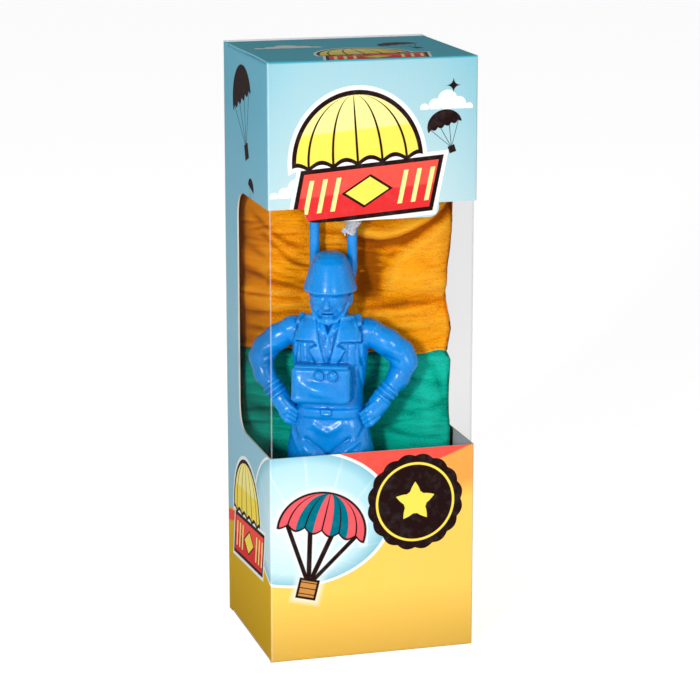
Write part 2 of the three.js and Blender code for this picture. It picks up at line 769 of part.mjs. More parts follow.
function hankRoute() {
  const steps = hankStepsPerTurn * hankTurns;
  const turns = Array.from({ length: steps + 1 }, (unused, index) => index / hankStepsPerTurn);
  const inside = turns.map((turn) => hankPoint(Math.min(turn, hankTurns - 1e-9)));
  const first = inside[0].clone().sub(vector(lineDiameter, 0, 0));
  const last = inside[steps].clone().add(vector(lineDiameter, 0, 0));
  return [first, ...inside, last].map(hankToCarton);
}

// Least gap between two stretches of one tube, measured between points of its route
function leastGap(points, diameter) {
  let length = 0;
  const lengths = points.map((point, index) => {
    length += index ? point.distanceTo(points[index - 1]) : 0;
    return length;
  });
  let least = Infinity;
  points.forEach((point, index) => {
    for (let other = index + 1; other < points.length - 1; other += 1) {
      if (lengths[other] - lengths[index] > 6 * diameter) {
        const segment = new THREE.Line3(points[other], points[other + 1]);
        const nearest = segment.closestPointToPoint(point, true, vector(0, 0, 0));
        least = Math.min(least, nearest.distanceTo(point));
      }
    }
  });
  return least - diameter;
}

const lineRoutePoints = hankRoute();
console.log('hank: least gap of the tube to itself',
  leastGap(lineRoutePoints, lineDiameter).toFixed(2), 'mm');

function hank() {
  const radii = lineRoutePoints.map(() => lineDiameter / 2);
  return loft(routeRings(lineRoutePoints, tangentsOf(lineRoutePoints), radii, hankSides, alongZ, 1));
}

// Tie round the hank's waist
function hankTie() {
  const half = hankOuterRadius - hankWaistDraw + lineDiameter / 2 + tieGap;
  const low = -lineDiameter / 2 - tieGap;
  const up = hankLayerStep + lineDiameter / 2 + tieGap;
  const radius = lineDiameter / 2;
  const shape = roundedShape([
    [-half - tieThickness, low - tieThickness, radius],
    [half + tieThickness, low - tieThickness, radius],
    [half + tieThickness, up + tieThickness, radius],
    [-half - tieThickness, up + tieThickness, radius],
  ]);
  const inner = radius / 2;
  shape.holes.push(roundedShape([
    [-half, low, inner], [-half, up, inner], [half, up, inner], [half, low, inner],
  ]));
  return plate(shape, tieWidth, alongY, alongZ, alongX, vector(-tieWidth / 2, 0, 0))
    .rotateZ(hankTurn)
    .translate(hankMiddleX, hankMiddleY, hankLow);
}

// Knot on the hanger: a lump in front of the right bar and a ring over the arch
const knotAcrossShare = 0.34;
const knotHighShare = 0.934;
const knotLumpShares = [
  // place: share of the knot's shift, then half thicknesses back and up; radii in half thicknesses
  [1, 0, 0, 1.35, 1, 2.1], [1.15, -0.1, -2.1, 1, 0.85, 1.3], [0.72, -0.1, 2, 1.05, 0.85, 1.5],
];
const knotTopShare = 1.76;
const ringAcrossShare = 0.10;
const ringTubeShare = 0.4;
const bridgeShares = [0.45, 0.4, -1.7];
const bridgeRadiiShares = [1, 1.5, 2];
const arch = hangerHeight - hangerBar / 2;
const ringTube = ringTubeShare * lineDiameter;
const ringRadius = hangerBar / 2 + knotGap + ringTube;
const knotX = knotAcrossShare * hangerWidth;
const knotDeep = hangerBack - hangerBar / 2 - knotGap - knotThickness / 2;
const knotMiddle = knotHighShare * hangerHeight;

function lineKnot() {
  const half = knotThickness / 2;
  const lumps = knotLumpShares.map(([across, back, up, ...radii]) => ball(
    vector(across * knotX, knotDeep + back * half, knotMiddle + up * half),
    vector(...radii).multiplyScalar(half),
  ));
  const ringX = ringAcrossShare * hangerWidth;
  const ring = new THREE.TorusGeometry(ringRadius, ringTube, lineSides, 2 * arcSteps)
    .rotateY(Math.PI / 2)
    .translate(ringX, hangerBack, arch);
  const [topAcross, , topUp] = knotLumpShares[knotLumpShares.length - 1];
  const [bridgeAcross, bridgeBack, bridgeUp] = bridgeShares;
  const [ringEnd, middleRadius, knotEnd] = bridgeRadiiShares.map((share) => share * ringTube);
  const bridge = limb([
    [vector(ringX, hangerBack - ringRadius, arch), ringEnd],
    [vector(bridgeAcross * knotX, knotDeep + bridgeBack * half, arch + bridgeUp * half), middleRadius],
    [vector(topAcross * knotX, knotDeep, knotMiddle + topUp * half), knotEnd],
  ], 4, alongX, 1);
  return geometryOf(unionOf([...lumps, ring, bridge]))
    .rotateZ(-figureTurn)
    .translate(figureX, figureY, floorLevel);
}

// Free stretches of the gathered lines, each a route of hand-set points between worked-out ends
const knotTopAcross = knotLumpShares[knotLumpShares.length - 1][0] * knotX;
const knotTop = figurePoint(knotTopAcross, knotDeep,
  knotMiddle + knotTopShare * knotThickness + clothGap);
const hankEnd = lineRoutePoints[lineRoutePoints.length - 1];
const hankStart = lineRoutePoints[0];
const hankAlong = alongX.clone().applyAxisAngle(alongZ, hankTurn);

const leadRoute = [
  [0.4, 0.2, 3], [0.7, 0.7, 9], [0.7, 1.9, 16], [0.3, 4, 24], [-0.1, 6.6, 30.2],
  [-0.4, 9.2, 33], [-1.4, 11.8, 33.9], [-3.2, 14, 34.2],
];
const tailRoute = [
  [-4.6, 0.6, 0], [-7.8, -0.7, -0.5], [-9.6, -3, -2.6], [-10.4, -4.5, -6], [-10.7, -4.6, -10],
];

function tube(points) {
  const section = new THREE.Shape(Array.from({ length: lineSides }, (unused, side) => {
    const angle = 2 * Math.PI * (side + 0.5) / lineSides;
    return new THREE.Vector2(lineDiameter / 2 * Math.cos(angle), lineDiameter / 2 * Math.sin(angle));
  }));
  const path = new THREE.CatmullRomCurve3(points, false, 'centripetal');
  const steps = Math.ceil(path.getLength() / (2 * lineDiameter));
  return new THREE.ExtrudeGeometry(section, { extrudePath: path, steps, bevelEnabled: false });
}

function lead() {
  const start = knotTop.clone();
  const end = hankEnd.clone().addScaledVector(hankAlong, clothGap);
  const middle = leadRoute.map(([x, y, z]) => vector(x, y, z).add(start));
  const straight = end.clone().addScaledVector(hankAlong, lineDiameter);
  return tube([start, ...middle, straight, end]);
}

function tail() {
  const start = hankStart.clone().addScaledVector(hankAlong, -clothGap);
  const straight = start.clone().addScaledVector(hankAlong, -lineDiameter);
  return tube([start, straight, ...tailRoute.map(([x, y, z]) => vector(x, y, z).add(start))]);
}

// Assembly
const toy = new THREE.Group();
toy.add(boardPiece('carton_sleeve', sleeve()));
toy.add(named('window_film', film(), colours.film, 0.08));

const topClosure = closure({
  lid: 'top_lid',
  tuck: 'top_tuck_flap',
  left: 'top_dust_flap_left',
  right: 'top_dust_flap_right',
});
topClosure.position.set(0, -halfDepth, cartonHeight);
toy.add(topClosure);

// Turned over, so its left and right change places
const bottomClosure = closure({
  lid: 'bottom_panel',
  tuck: 'bottom_tuck_flap',
  left: 'bottom_dust_flap_right',
  right: 'bottom_dust_flap_left',
});
bottomClosure.position.set(0, -halfDepth, 0);
bottomClosure.rotation.y = Math.PI;
toy.add(bottomClosure);

const parachutist = named('parachutist_figure', geometryOf(figureSolid()), colours.figure, 0.3);
parachutist.rotation.z = -figureTurn;
parachutist.position.set(figureX, figureY, floorLevel);
toy.add(parachutist);

toy.add(named('canopy_orange', clothBlock(seamHeight + clothGap, canopyHigh, 0), colours.orange, 0.85));
toy.add(named('canopy_green', clothBlock(canopyLow, seamHeight, orangeOverlapDepth), colours.green, 0.85));
toy.add(named('line_knot', lineKnot(), colours.line, 0.6));
toy.add(named('line_lead', lead(), colours.line, 0.6));
toy.add(named('line_hank', hank(), colours.line, 0.6));
toy.add(named('line_tail', tail(), colours.line, 0.6));
toy.add(named('hank_tie', hankTie(), colours.line, 0.6));

export default toy;
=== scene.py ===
# Toy parachutist with a folded cloth canopy in a printed window carton.
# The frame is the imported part, in metres: +Z up, the carton's front towards -Y.
import math

import bmesh
import bpy
import numpy as np
from mathutils import Matrix, Vector


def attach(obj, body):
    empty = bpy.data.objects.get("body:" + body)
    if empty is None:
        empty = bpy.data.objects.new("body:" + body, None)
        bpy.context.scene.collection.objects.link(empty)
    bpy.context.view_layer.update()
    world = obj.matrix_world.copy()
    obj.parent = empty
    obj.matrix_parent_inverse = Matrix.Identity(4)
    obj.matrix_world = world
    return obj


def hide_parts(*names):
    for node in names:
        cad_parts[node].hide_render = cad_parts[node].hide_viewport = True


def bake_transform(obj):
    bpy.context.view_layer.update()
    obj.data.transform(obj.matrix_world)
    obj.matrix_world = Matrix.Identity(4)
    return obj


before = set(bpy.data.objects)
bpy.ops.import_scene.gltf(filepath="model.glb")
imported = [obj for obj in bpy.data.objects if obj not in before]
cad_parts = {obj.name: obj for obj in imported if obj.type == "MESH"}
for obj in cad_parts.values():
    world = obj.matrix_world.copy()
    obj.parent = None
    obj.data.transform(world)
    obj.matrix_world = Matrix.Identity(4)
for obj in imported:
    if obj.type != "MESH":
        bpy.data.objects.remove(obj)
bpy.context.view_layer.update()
MM = 0.001


def linked(name, data):
    """A new object at the origin, in the scene."""
    made = bpy.data.objects.new(name, data)
    bpy.context.collection.objects.link(made)
    return made


# Camera
# The photograph's own view, fitted to the carton's corners
view_place = (-0.282618, -1.000374, 0.363327)
view_turn = math.radians(-15.8137)
view_dip = math.radians(13.3037)
lens_pixels, photo_pixels, sensor = 2642.05, 700, 36

eye = bpy.data.cameras.new("camera")
eye.sensor_width = sensor
eye.lens = lens_pixels / photo_pixels * sensor
eye.clip_start = 0.05
camera = linked("camera", eye)
camera.location = view_place
camera.rotation_euler = (math.pi / 2 - view_dip, 0, view_turn)
bpy.context.scene.camera = camera


# Sizes, in millimetres
carton_wide, carton_deep, carton_high = 84.0, 72.0, 240.0
half_wide, half_deep = carton_wide / 2, carton_deep / 2
board = 0.6
# On the unfolded blank the walls run along u from the rear left corner, and v is the height
wall_turns = [0.0, carton_deep, carton_deep + carton_wide, 2 * carton_deep + carton_wide,
              2 * (carton_deep + carton_wide)]
front_middle = wall_turns[1] + half_wide
chart_lift = 100.0
corner_round = 0.9
window_low, window_top, window_rear = 84.5, 183.0, 15.0
window_round = 12.0
tab_left, tab_right, tab_low, tab_round = -27.5, 26.5, 177.4, 4.5
figure_turn = math.radians(24)
figure_x, figure_y, floor_z = -10.2, -9.8, 3.0
figure_high = 157.9
hanger_wide, hanger_deep, hanger_top = 15.1, 8.5, 183.8


# Shader helpers
def operator(operation, swapped=False):
    """A method that adds the Math node of one arithmetic operator."""
    def method(self, other):
        pair = (other, self) if swapped else (self, other)
        return self.nodes.math(operation, *pair)
    return method


class Signal:
    """A socket of a node tree, with arithmetic."""

    def __init__(self, nodes, socket):
        self.nodes, self.socket = nodes, socket

    __add__, __radd__ = operator("ADD"), operator("ADD", True)
    __sub__, __rsub__ = operator("SUBTRACT"), operator("SUBTRACT", True)
    __mul__, __rmul__ = operator("MULTIPLY"), operator("MULTIPLY", True)
    __truediv__, __rtruediv__ = operator("DIVIDE"), operator("DIVIDE", True)
    __pow__ = operator("POWER")

    def __neg__(self):
        return self * -1.0


class Nodes:
    """A node tree whose nodes are added by one method."""

    def __init__(self, tree):
        self.tree = tree

    def feed(self, socket, value):
        if isinstance(value, Signal):
            self.tree.links.new(value.socket, socket)
        elif isinstance(value, tuple) and len(value) == 3 and len(socket.default_value) == 4:
            socket.default_value = (*value, 1.0)
        else:
            socket.default_value = value

    def node(self, kind, settings=None, inputs=None, output=0):
        made = self.tree.nodes.new(kind)
        for name, value in (settings or {}).items():
            setattr(made, name, value)
        for name, value in (inputs or {}).items():
            self.feed(made.inputs[name], value)
        if output is None:
            return [Signal(self, socket) for socket in made.outputs]
        return Signal(self, made.outputs[output])

    def math(self, operation, *values):
        return self.node("ShaderNodeMath", {"operation": operation}, dict(enumerate(values)))

    def seen_by(self, *rays):
        """One where any of these kinds of ray looks, and zero elsewhere."""
        looks = [self.node("ShaderNodeLightPath", output=f"Is {ray} Ray") for ray in rays]
        seen = looks[0]
        for look in looks[1:]:
            seen = self.math("MAXIMUM", seen, look)
        return seen


class Finish(Nodes):
    """A material built round one Principled shader."""

    def __init__(self, name, **constants):
        self.material = bpy.data.materials.new(name)
        self.material.use_nodes = True
        super().__init__(self.material.node_tree)
        self.tree.nodes.clear()
        shader = self.node("ShaderNodeBsdfPrincipled")
        self.node("ShaderNodeOutputMaterial", {}, {"Surface": shader}, None)
        self.inputs = shader.socket.node.inputs
        self.set(**constants)

    def set(self, **values):
        for name, value in values.items():
            self.feed(self.inputs[name.replace("_", " ")], value)

    def clamp(self, value):
        return self.node("ShaderNodeClamp", {}, {0: value})

    def painted(self, base, *coats):
        """The base with coats laid over it, each a mask and a colour."""
        for mask, colour in coats:
            base = self.node("ShaderNodeMix", {"data_type": "RGBA"}, {0: mask, 6: base, 7: colour}, 2)
        return base

    def join(self, x, y, z):
        return self.node("ShaderNodeCombineXYZ", {}, {0: x, 1: y, 2: z})

    def split(self, vector):
        """The parts of a vector in metres, in millimetres."""
        parts = self.node("ShaderNodeSeparateXYZ", {}, {0: vector}, None)
        return [part * (1 / MM) for part in parts]

    def place(self):
        """Object coordinates in millimetres."""
        return self.split(self.node("ShaderNodeTexCoord", output="Object"))

    def chart(self, name):
        """A UV map in millimetres."""
        return self.split(self.node("ShaderNodeUVMap", {"uv_map": name}))[:2]

    def attribute(self, name):
        return self.node("ShaderNodeAttribute", {"attribute_name": name}, output="Fac")

    def noise(self, vector, scale, detail=2.0, roughness=0.5):
        inputs = {"Vector": vector, "Scale": scale, "Detail": detail, "Roughness": roughness}
        return self.node("ShaderNodeTexNoise", {}, inputs)

    def bump(self, height, distance, strength=1.0):
        inputs = {"Height": height, "Distance": distance, "Strength": strength}
        self.set(Normal=self.node("ShaderNodeBump", {}, inputs))


def rgb(red, green, blue):
    """A colour of the print, from 0 to 255, as light."""
    parts = [value / 255 for value in (red, green, blue)]
    return tuple(p / 12.92 if p <= 0.04045 else ((p + 0.055) / 1.055) ** 2.4 for p in parts)


# Print
white_ink = rgb(243, 243, 238)
dark_ink = rgb(36, 20, 20)
sky_ink = rgb(186, 214, 219)
deep_sky = rgb(112, 184, 202)
lid_ink = rgb(78, 186, 206)
yellow_ink = rgb(252, 226, 90)
pale_yellow = rgb(255, 241, 150)
red_ink = rgb(245, 84, 72)
deep_red = rgb(222, 50, 52)
orange_ink = rgb(243, 166, 78)
pale_blue = rgb(176, 222, 234)
teal_ink = rgb(0, 112, 130)


def printed_board():
    """Print on the carton's outside, drawn on the unfolded blank: u round the walls, v up."""
    f = Finish("printed_board", Specular_IOR_Level=0.004)
    u, raw_v = f.chart("blank")
    v = raw_v - chart_lift
    painted, clamp = f.painted, f.clamp

    def plain(operation):
        return lambda *values: f.math(operation, *values)

    absolute, least, most = plain("ABSOLUTE"), plain("MINIMUM"), plain("MAXIMUM")
    sine, fraction, over, under = plain("SINE"), plain("FRACT"), plain("GREATER_THAN"), plain("LESS_THAN")
    root, angle = plain("SQRT"), plain("ARCTAN2")

    def at(values, soft=0.14):
        return clamp(0.5 - values / soft)

    def length(x, y):
        return root(x * x + y * y)

    def disc(x, y, cx, cy, radius):
        return length(x - cx, y - cy) - radius

    def spots(places):
        """Own coordinates of a motif: fields of u and v, then the middle, size and tilt in each."""
        x, y = 0.0 * u + 400.0, 0.0 * u + 400.0
        for low_u, high_u, low_v, high_v, middle_u, middle_v, size, tilt in places:
            here = over(u, low_u) * under(u, high_u) * over(v, low_v) * under(v, high_v)
            turn = math.radians(tilt)
            across, up = (u - middle_u) / size, (v - middle_v) / size
            x = x + here * (across * math.cos(turn) + up * math.sin(turn) - x)
            y = y + here * (up * math.cos(turn) - across * math.sin(turn) - y)
        return x, y

    def gores(x, y, wide, high, line):
        """Panels of a dome: a place across it, then the mask of its seams."""
        place = x / (wide * root(most(1.0 - (y / high) ** 2.0, 0.02)))
        panel = fraction(place * 2.5 + 8.0)
        return place, at(least(panel, 1.0 - panel) - line, 0.02)

    # grounds: sky above, sunny yellow with rays below, a darker lid
    on_front = under(absolute(u - front_middle), half_wide)
    on_lower, on_lid = under(v, carton_high / 2), over(v, carton_high - 0.8)
    sky_fade = (v - 200.0) / 90.0 + (absolute(u - 116.0) / 42.0) ** 3.0 * 0.3 + (u - 90.0) / 420.0
    side_sky = painted(rgb(152, 199, 217), (clamp((v - 130.0) / 90.0), rgb(106, 178, 202)))
    sky = painted(sky_ink, (clamp(sky_fade), deep_sky), (1.0 - on_front, side_sky))
    ray_x, ray_y = u - 84.0, v - 58.0
    ray = angle(ray_y, -ray_x)

    def fan(low, high, sharp=90.0):
        return clamp((ray - math.radians(low)) * sharp) * clamp((math.radians(high) - ray) * sharp)

    side_sun = painted(rgb(192, 150, 0), (clamp((v + 4.0) / 60.0), rgb(232, 188, 40)))
    warm = clamp((math.radians(176) - ray) * 9.0) * clamp((ray - math.radians(158.5)) * 60.0)
    sun = painted(
        rgb(188, 148, 60), (clamp((v + 12.0) / 40.0), rgb(255, 208, 96)), (1.0 - on_front, side_sun),
        (warm * clamp((u - 118.0) / 26.0), orange_ink), (clamp(fan(120, 159.8) + fan(-13, -9)), red_ink),
    )

    # fine printer's dots over the sky
    dot = sine((u + v) * 4.3) * sine((u - v) * 4.3)
    dotted = 1.0 - on_lower
    ground = painted(
        sky, (on_lower * (1.0 - fan(-9, 120)), sun), (on_lid, lid_ink),
        (clamp(dot * 0.9 - 0.15) * 0.20 * dotted * (1.0 - on_lid * 0.8), white_ink),
        (clamp(-0.15 - dot * 0.9) * 0.10 * dotted, deep_sky),
    )

    # a pale disc with a white rim behind the open canopy drawn on the lower panel
    ring = (length(ray_x / 37.0, (ray_y - 1.0) / 27.0) - 1.0) * 30.0
    glow = clamp(length(ray_x / 30.0, (ray_y + 4.0) / 27.0) - 0.12)
    fans = sine(angle(ray_y + 14.0, ray_x - 6.0) * 16.0)
    disc_ink = painted(rgb(226, 244, 248), (glow, pale_blue), (clamp(fans * 9.0 - 8.5) * 0.55, white_ink),
                       (clamp((ring + 5.0) / 7.0) * 0.7, rgb(70, 160, 185)))
    ground = painted(ground, (at(ring - 1.2) * on_lower, white_ink), (at(ring) * on_lower, disc_ink))

    # flat-bottomed clouds
    cx, cy = spots([
        (130, 156, 204, 236, 143, 221, 0.62, 0), (72, 96, 180, 204, 83, 189, 0.62, 0),
        (190, 228, 165, 240, 206, 219, 0.7, 0), (74, 154, 240, 309, 91, 284, 0.8, 0),
        (236, 262, 180, 240, 250, 222, 0.8, 0),
    ])
    puffs = disc(cx, cy, -7, 0, 4.2)
    for puff in ((1, 3, 6.4), (8.5, 0.5, 4.6), (15, -1.6, 2.6), (-14, -1.5, 2.8)):
        puffs = least(puffs, disc(cx, cy, *puff))
    ink = painted(ground, (at(most(puffs, -2.6 - cy), 0.3), white_ink))

    # open canopies with a slung crate, in colour on the lower panel
    px, py = spots([
        (72, 112, 4, 83, 91, 46, 1.55, -14), (132, 156, 200, 228, 143.5, 210, 0.62, 18),
        (0, 68, 190, 234, 33, 214, 1.35, 20), (20, 68, 178, 191, 44, 185, 0.40, -15),
        (160, 228, 186, 236, 196, 200, 1.0, -12), (122, 150, 250, 300, 138, 278, 0.8, 20),
        (238, 302, 20, 84, 270, 50, 1.6, 10),
    ])
    dome = (length(px / 11.5, (py - 5.0) / 10.0) - 1.0) * 10.0
    canopy = most(dome, 5.4 - absolute(sine(px * (math.pi / 4.6))) * 1.3 - py)
    spread = (py + 9.5) / 15.0
    line = least(*(absolute(absolute(px) - spread * reach) for reach in (9.6, 3.2))) - 0.22
    line = most(line, most(py - 6.0, -8.6 - py))
    crate = most(absolute(px), absolute(py + 10.6)) - 2.3
    gore_place, seams = gores(px, py - 5.0, 11.5, 10.0, 0.045)
    shapes = least(canopy, least(line, crate))
    stripes = over(fraction(gore_place * 1.25 + 8.25), 0.5)
    canopy_ink = painted(rgb(232, 92, 100), (stripes, teal_ink), (seams, dark_ink))
    crate_ink = painted(rgb(205, 140, 70), (at(fraction(py * 0.66 + 8.0) - 0.16, 0.1), dark_ink))
    ink = painted(
        ink, (clamp(1.0 - (shapes + 0.2) / 2.4) * on_lower, white_ink),
        (at(shapes - 0.45 * on_lower, 0.2), dark_ink), (at(canopy + 0.1, 0.2) * on_lower, canopy_ink),
        (at(crate + 0.2, 0.2) * on_lower, crate_ink),
    )

    # dark round badge with a ring, a star and a beaded edge
    bx, by = (u - 131.5) / 1.1, (v - 62.5) / 1.1
    reach, turn = length(bx, by), angle(by, bx)
    badge = reach - 17.2 - absolute(sine(turn * 8.0)) * 0.9
    star_turn = absolute(fraction((turn - math.pi / 2) * (5 / (2 * math.pi)) + 10.5) - 0.5)
    star = reach * f.math("COSINE", star_turn * 1.2566 - 0.62) - 4.3 - 5.2 * clamp(0.36 - star_turn)
    badge_mask = clamp(at(absolute(reach - 14.4) - 0.45) + at(star, 0.2))
    ink = painted(ink, (at(badge) * on_lower, dark_ink), (badge_mask * on_lower, yellow_ink))

    # emblem: a gored dome over a striped band, outlined dark and bordered white
    ex, ey = spots([
        (72, 156, 172, 238, 111.5, 203.5, 1.0, 4), (0, 72, 8, 86, 36, 52, 0.86, 4),
        (156, 228, 8, 86, 192, 52, 0.86, 4), (72, 156, 241, 309, 118, 258, 0.72, 2),
        (228, 312, 150, 238, 270, 203, 1.0, 4),
    ])
    arch = (length((ex + 4.0) / 24.5, (ey + 3.0) / 26.0) - 1.0) * 24.0
    arch = most(arch, -3.0 - ey + absolute(sine((ex + 4.0) * (math.pi / 9.8))) * 2.2)
    slant, band_y = ex - 3.0 - ey * 0.28, ey + 14.6
    band = most(absolute(slant) - 27.0, absolute(band_y) - 9.0)
    both = least(arch, band)
    _, panel_seams = gores(ex + 4.0, ey + 3.0, 24.5, 26.0, 0.05)
    arch_ink = painted(yellow_ink, (clamp((ey - 9.0) / 1.2), pale_yellow), (panel_seams, dark_ink))
    marks = under(fraction(slant / 5.4 + 8.5), 0.34) * over(absolute(slant), 10.5)
    gem = absolute(slant) * 0.62 + absolute(band_y) - 5.4
    band_ink = painted(
        red_ink, (clamp(0.5 - band_y / 0.8), deep_red), (marks * at(absolute(band_y) - 6.4), pale_yellow),
        (at(gem - 1.0), dark_ink), (at(gem), yellow_ink),
    )
    ink = painted(
        ink, (at(both - 3.3), white_ink), (at(both - 1.7), dark_ink), (at(arch), arch_ink),
        (at(band - 1.7) * (1.0 - over(at(band), 0.5)), dark_ink), (at(band), band_ink),
    )

    # a small dark spark, then rubbed folds, a faint mottle and the board's fibre
    spark = root(absolute(u - 146.0)) + root(absolute(v - 228.5)) - 1.85
    x, y, z = f.place()
    mottle = f.noise(f.join(x, y, z), 0.35, 3.0)
    crease = least(absolute(u - wall_turns[1]), absolute(u - wall_turns[2]))
    rub = clamp(clamp(1.0 - crease / 0.8) * 0.22 * (0.6 + mottle))
    ink = painted(ink, (at(spark, 0.2), dark_ink), (rub, white_ink),
                  (clamp(mottle - 0.5) * 0.07, white_ink))
    f.set(Base_Color=ink, Roughness=0.36 + mottle * 0.14)
    f.bump(f.noise(f.join(x, y, z), 3.2, 3.0), 0.00003, 0.5)
    return f.material


def bare_board():
    f = Finish("bare_board", Roughness=0.8, Specular_IOR_Level=0.2)
    fleck = f.noise(f.join(*f.place()), 1.6, 4.0, 0.6)
    f.set(Base_Color=f.painted(rgb(210, 210, 213), (f.clamp(fleck * 1.6 - 0.5), rgb(233, 233, 238))))
    f.bump(fleck, 0.00005, 0.6)
    return f.material


def cut_board():
    f = Finish("cut_board", Roughness=0.9, Specular_IOR_Level=0.15)
    layers = f.noise(f.join(*(part * 0.6 for part in f.place())), 2.4, 3.0)
    f.set(Base_Color=f.painted(rgb(205, 190, 165), (layers, rgb(232, 226, 212))))
    return f.material


def clear_film():
    """Clear, with a painted highlight along its creases, and duller where it is seen edge on."""
    f = Finish("clear_film", Roughness=0.05, IOR=1.46, Specular_IOR_Level=0.003)
    x, y, z = f.place()
    facing = f.node("ShaderNodeLayerWeight", {}, {"Blend": 0.5}, "Facing")
    corner = f.math("SQRT", (f.math("ABSOLUTE", x) - 41.1) ** 2.0 + (y + 35.1) ** 2.0)
    # a painted highlight along the creases at the front corners: whiter and less clear
    crease = f.clamp(1.2 - corner / 0.5)
    haze = f.noise(f.join(x, y, z * 0.3), 0.05, 2.0)
    side = f.math("MINIMUM", facing ** 4.0 * 0.48, 0.145)
    veil = 0.003 + side + crease * 0.27 + f.clamp(haze - 0.6) * 0.03
    f.set(Alpha=f.clamp(veil), Base_Color=f.painted(rgb(10, 8, 8), (crease, rgb(236, 240, 246))))
    return f.material


def figure_plastic():
    """Glossy blue moulding, with painted shade in its creases and a painted highlight on its raised edges."""
    f = Finish("figure_plastic", IOR=1.5, Specular_IOR_Level=0.24, Subsurface_Weight=0.08,
               Subsurface_Scale=0.003, Coat_Weight=0.12, Coat_Roughness=0.12)
    x, y, z = f.place()
    cloudy = f.noise(f.join(x, y, z), 0.09, 3.0)
    skin = f.noise(f.join(x, y, z), 0.8, 4.0, 0.6)
    flow = f.noise(f.join(x * 1.6, y * 1.6, z * 0.5), 0.3, 2.0)
    relief = f.attribute("relief")
    f.set(Roughness=0.18 + skin * 0.17, Base_Color=f.painted(
        rgb(0, 124, 206), (f.clamp(cloudy * 1.5 - 0.25), rgb(0, 143, 228)),
        # painted shade in the creases and a painted highlight on the raised edges, read from the relief
        # attribute
        (f.clamp(-relief * 1.3) * 0.75, rgb(0, 78, 150)), (f.clamp(relief - 0.1) * 0.55, rgb(60, 178, 250)),
    ))
    f.bump(skin * 0.5 + flow, 0.00012, 0.7)
    return f.material


def cloth(name, painted_valley_shade, deep, bright, painted_crest_highlight):
    """Thin woven cloth, crinkled in fine level folds, with painted shade in its hollows and a painted
    highlight on its ridges.
    """
    f = Finish(name, Roughness=0.72, Specular_IOR_Level=0.05, Sheen_Weight=0.03, Sheen_Roughness=0.4)
    u, v = f.chart("cloth")
    fold = f.attribute("fold")

    def grain(across, along, seed, detail, roughness=0.5):
        return f.noise(f.join(u * across, v * along, seed), 1.0, detail, roughness) - 0.5

    weave = f.math("SINE", u * 7.6) * f.math("SINE", v * 8.4)
    slub, speck = grain(1.5, 1.5, 1.0, 3.0, 0.7), grain(1.7, 1.5, 5.0, 2.0, 0.6)
    crinkle, cloudy = grain(0.10, 0.62, 0.0, 4.0, 0.6), grain(0.05, 0.08, 3.0, 3.0)
    f.set(Roughness=0.745 + slub * 0.25, Base_Color=f.painted(
        # the tone follows random noise and the fine crinkles, with painted shade in the crinkles' hollows
        deep, (f.clamp(0.71 + crinkle * 2.2 + cloudy * 1.4 + speck * 3.4), bright),
        (f.clamp(0.40 - weave * 0.5 - slub * 3.2) * 0.6, deep),
        # painted shade in the folds' hollows and a painted highlight on their ridges, read from the fold
        # attribute
        (f.clamp(fold) * 0.86, painted_valley_shade), (f.clamp(-fold) * 0.4, painted_crest_highlight),
    ))
    f.bump(crinkle * 1.2 + slub * 0.3 + weave * 0.08, 0.0007, 0.8)
    return f.material


def line_thread():
    f = Finish("line_thread", Roughness=0.5, Specular_IOR_Level=0.5, Sheen_Weight=0.2)
    fluff = f.noise(f.join(*f.place()), 2.2, 3.0)
    f.set(Base_Color=f.painted(rgb(138, 144, 158), (f.clamp(fluff * 2.4 - 0.7), rgb(240, 241, 246))))
    f.bump(fluff, 0.0001, 0.8)
    return f.material


finishes = {
    "print": printed_board(),
    "inside": bare_board(),
    "edge": cut_board(),
    "film": clear_film(),
    "figure": figure_plastic(),
    # each cloth's first colour is painted shade for its hollows and its last a painted highlight for its
    # ridges
    "orange": cloth("orange_cloth", rgb(128, 56, 0), rgb(206, 100, 0), rgb(255, 168, 10), rgb(255, 196, 60)),
    "green": cloth("green_cloth", rgb(0, 66, 56), rgb(0, 124, 104), rgb(0, 190, 162), rgb(40, 212, 188)),
    "thread": line_thread(),
}
board_finishes = ("print", "inside", "edge")


# Mesh helpers
def piece_from(name, points, faces, materials, uv=None, uv_name="blank", marks=None):
    """A smooth piece from points in millimetres; marks gives each face's material."""
    mesh = bpy.data.meshes.new(name)
    mesh.from_pydata((np.asarray(points, float) * MM).tolist(), [], faces)
    for key in materials:
        mesh.materials.append(finishes[key])
    if marks is not None:
        mesh.polygons.foreach_set("material_index", marks)
    mesh.polygons.foreach_set("use_smooth", [True] * len(mesh.polygons))
    if uv is not None:
        chart = mesh.uv_layers.new(name=uv_name)
        corner = np.empty(len(mesh.loops), dtype=np.int32)
        mesh.loops.foreach_get("vertex_index", corner)
        chart.data.foreach_set("uv", np.asarray(uv, np.float32)[corner].ravel())
    mesh.update()
    return linked(name, mesh)


def mark(piece, name, values):
    """Gives a piece's points a value each, from -1 to 1, that its material reads."""
    made = piece.data.attributes.new(name, "FLOAT", "POINT")
    made.data.foreach_set("value", np.clip(values, -1, 1).reshape(-1).astype(np.float32))


def settle(piece, sharp_degrees=None):
    """Turns a piece's faces outward and marks its sharp edges."""
    bm = bmesh.new()
    bm.from_mesh(piece.data)
    bmesh.ops.recalc_face_normals(bm, faces=bm.faces)
    for edge in bm.edges:
        if sharp_degrees and len(edge.link_faces) == 2:
            edge.smooth = edge.calc_face_angle(0) < math.radians(sharp_degrees)
    bm.to_mesh(piece.data)
    bm.free()


def belongs(piece, body, slot, *nodes):
    """Says what a piece rides on and the nodes that it stands for; the slot is not used."""
    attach(piece, body)
    if nodes:
        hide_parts(*nodes)


